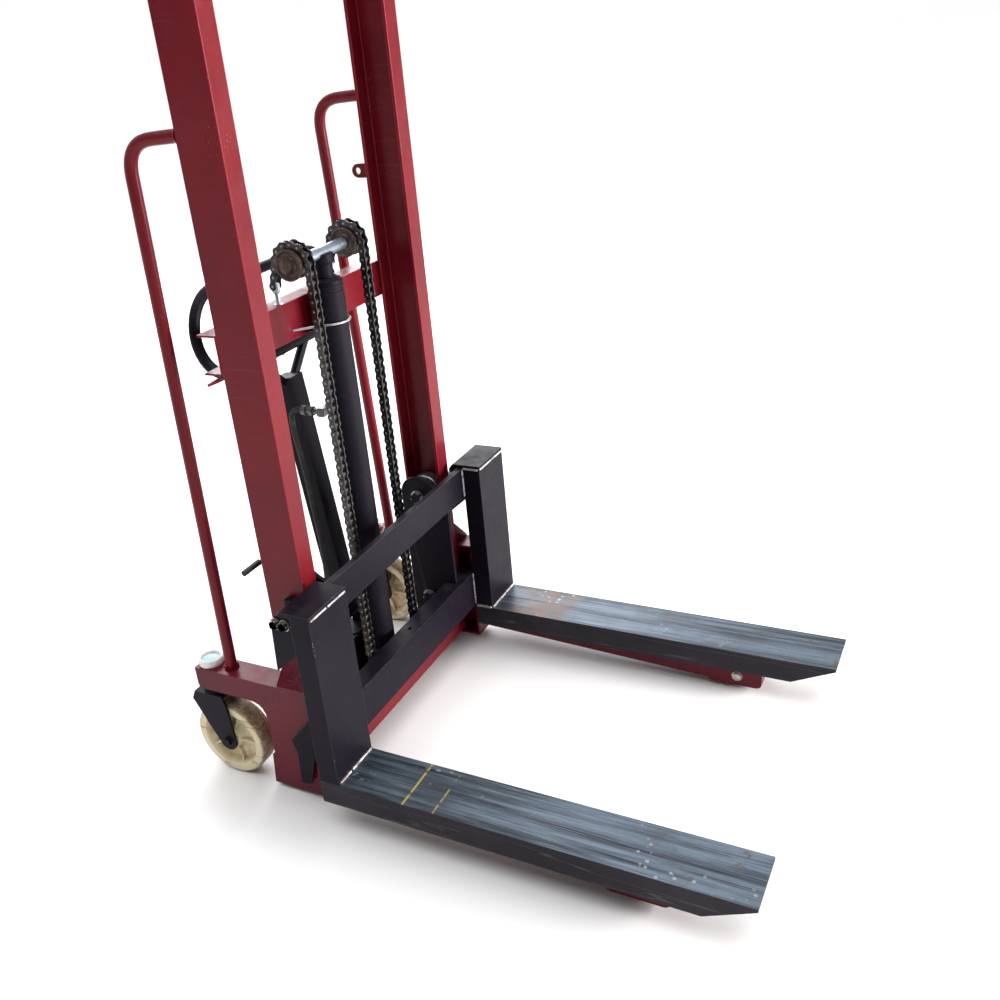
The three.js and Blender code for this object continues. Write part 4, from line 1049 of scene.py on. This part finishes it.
def make_tiller():
    finished("tiller_tube", BLACK, 0.0016, BLACK_EDGE_HIGHLIGHT)
    loop_up, half, r, tube = 0.752, 0.250, 0.092, 0.0119
    straight = half - r
    path = [on_tiller(0.0, 0, loop_up - r), on_tiller(straight, 0, loop_up - r)]
    for i in range(1, 25):
        angle = -math.pi / 2 + math.pi * i / 24
        path.append(on_tiller(straight + r * math.cos(angle), 0, loop_up + r * math.sin(angle)))
    path.append(on_tiller(-straight, 0, loop_up + r))
    for i in range(1, 25):
        angle = math.pi / 2 + math.pi * i / 24
        path.append(on_tiller(-straight + r * math.cos(angle), 0, loop_up + r * math.sin(angle)))
    path.append(on_tiller(-0.0005, 0, loop_up - r))
    form = Form()
    form.pipe(path, tube, 24)
    form.bead(on_tiller(-0.013, 0, loop_up - r), on_tiller(0.013, 0, loop_up - r), 0.0265, 0, 5)
    form.make("tiller_loop_made", "tiller", [BLACK], ("tiller_loop",), 60)
    finished("release_lever", RED, 0.0006, RED_EDGE_HIGHLIGHT)

    x, y, z = -0.070, 0.508, 0.096
    tip_y, tip_z = 0.606, 0.405
    form = Form()
    crank = [(x, y + 0.004, z), (x, 0.560, 0.200), (x, 0.600, tip_z), (-0.160, tip_y, tip_z)]
    form.pipe(rounded(crank, 0.024, 8), 0.0058, 18)
    form.turn([(0.0084, -0.013), (0.0142, -0.013), (0.015, -0.012), (0.015, 0.012), (0.0142, 0.013),
               (0.0084, 0.013), (0.0084, -0.013)], (-0.071, y, z), "x", 36)
    grips = []
    for i in range(13):
        place = -0.104 - 0.060 * i / 12
        grips += [(0.0069 if i % 2 else 0.0074, place)]
    form.turn([(0, -0.104), *grips, (0, -0.164)], (0, tip_y, tip_z), "x", 32, 1)
    form.make("foot_pedal_made", "pedal", [BLACK, RUBBER], ("foot_pedal",), 50)


# ---- Stage -------------------------------------------------------------------------------------

def make_stage():
    mesh = bpy.data.meshes.new("floor")
    reach = 30
    corners = [(-reach, -reach, 0), (reach, -reach, 0), (reach, reach, 0), (-reach, reach, 0)]
    mesh.from_pydata(corners, [], [(0, 1, 2, 3)])
    floor = bpy.data.objects.new("floor", mesh)
    bpy.context.scene.collection.objects.link(floor)
    pale = Finish("pale_floor", roughness=0.85)
    cloud = pale.noise(0.8, 2)
    pale.set("Base Color", pale.mix(cloud, (0.86, 0.86, 0.87), (0.90, 0.90, 0.90)))
    mesh.materials.append(pale.material)


def soft_light(name, place, target, size, power, colour=(1, 1, 1)):
    lamp = bpy.data.lights.new(name, "AREA")
    lamp.shape = "RECTANGLE"
    lamp.size, lamp.size_y = size
    lamp.energy = power
    lamp.color = colour
    holder = bpy.data.objects.new(name, lamp)
    holder.location = place
    holder.rotation_euler = (Vector(target) - Vector(place)).to_track_quat("-Z", "Y").to_euler()
    bpy.context.scene.collection.objects.link(holder)


def make_light():
    """Bright pale surroundings behind the machine, dim ones in front, a low key and an even ceiling."""
    world = bpy.data.worlds.new("pale_room")
    bpy.context.scene.world = world
    world.use_nodes = True
    sky = world.node_tree.nodes["Background"]
    graph = world.node_tree
    place = graph.nodes.new("ShaderNodeTexCoord")
    behind = graph.nodes.new("ShaderNodeVectorMath")
    behind.operation = "DOT_PRODUCT"
    behind.inputs[1].default_value = (0.66, 0.72, 0.22)
    spread = graph.nodes.new("ShaderNodeMapRange")
    spread.interpolation_type = "SMOOTHSTEP"
    for socket, value in (("From Min", -0.2), ("From Max", 0.75), ("To Min", 0.16), ("To Max", 1.0)):
        spread.inputs[socket].default_value = value
    graph.links.new(place.outputs["Generated"], behind.inputs[0])
    graph.links.new(behind.outputs["Value"], spread.inputs["Value"])
    graph.links.new(spread.outputs["Result"], sky.inputs["Strength"])
    sky.inputs["Color"].default_value = (1.0, 1.0, 1.0, 1)
    middle_height = (0, 0, 0.7)
    soft_light("front_key", (1.6, -4.6, 1.5), middle_height, (2.4, 1.6), 430, (1.0, 0.94, 0.92))
    soft_light("window_behind", (4.6, 3.4, 3.0), middle_height, (5.0, 2.6), 260, (0.97, 0.98, 1.0))
    noon = bpy.data.lights.new("even_ceiling", "SUN")
    noon.energy = 2.3
    noon.angle = 1.2
    bpy.context.scene.collection.objects.link(bpy.data.objects.new("even_ceiling", noon))
    bpy.context.scene.view_settings.view_transform = "Standard"


place_camera()
make_mast()
make_hoops()
make_legs_and_rollers()
make_casters()
make_cylinder()
make_chains()
make_carriage()
make_pump()
make_tiller()
make_stage()
make_light()
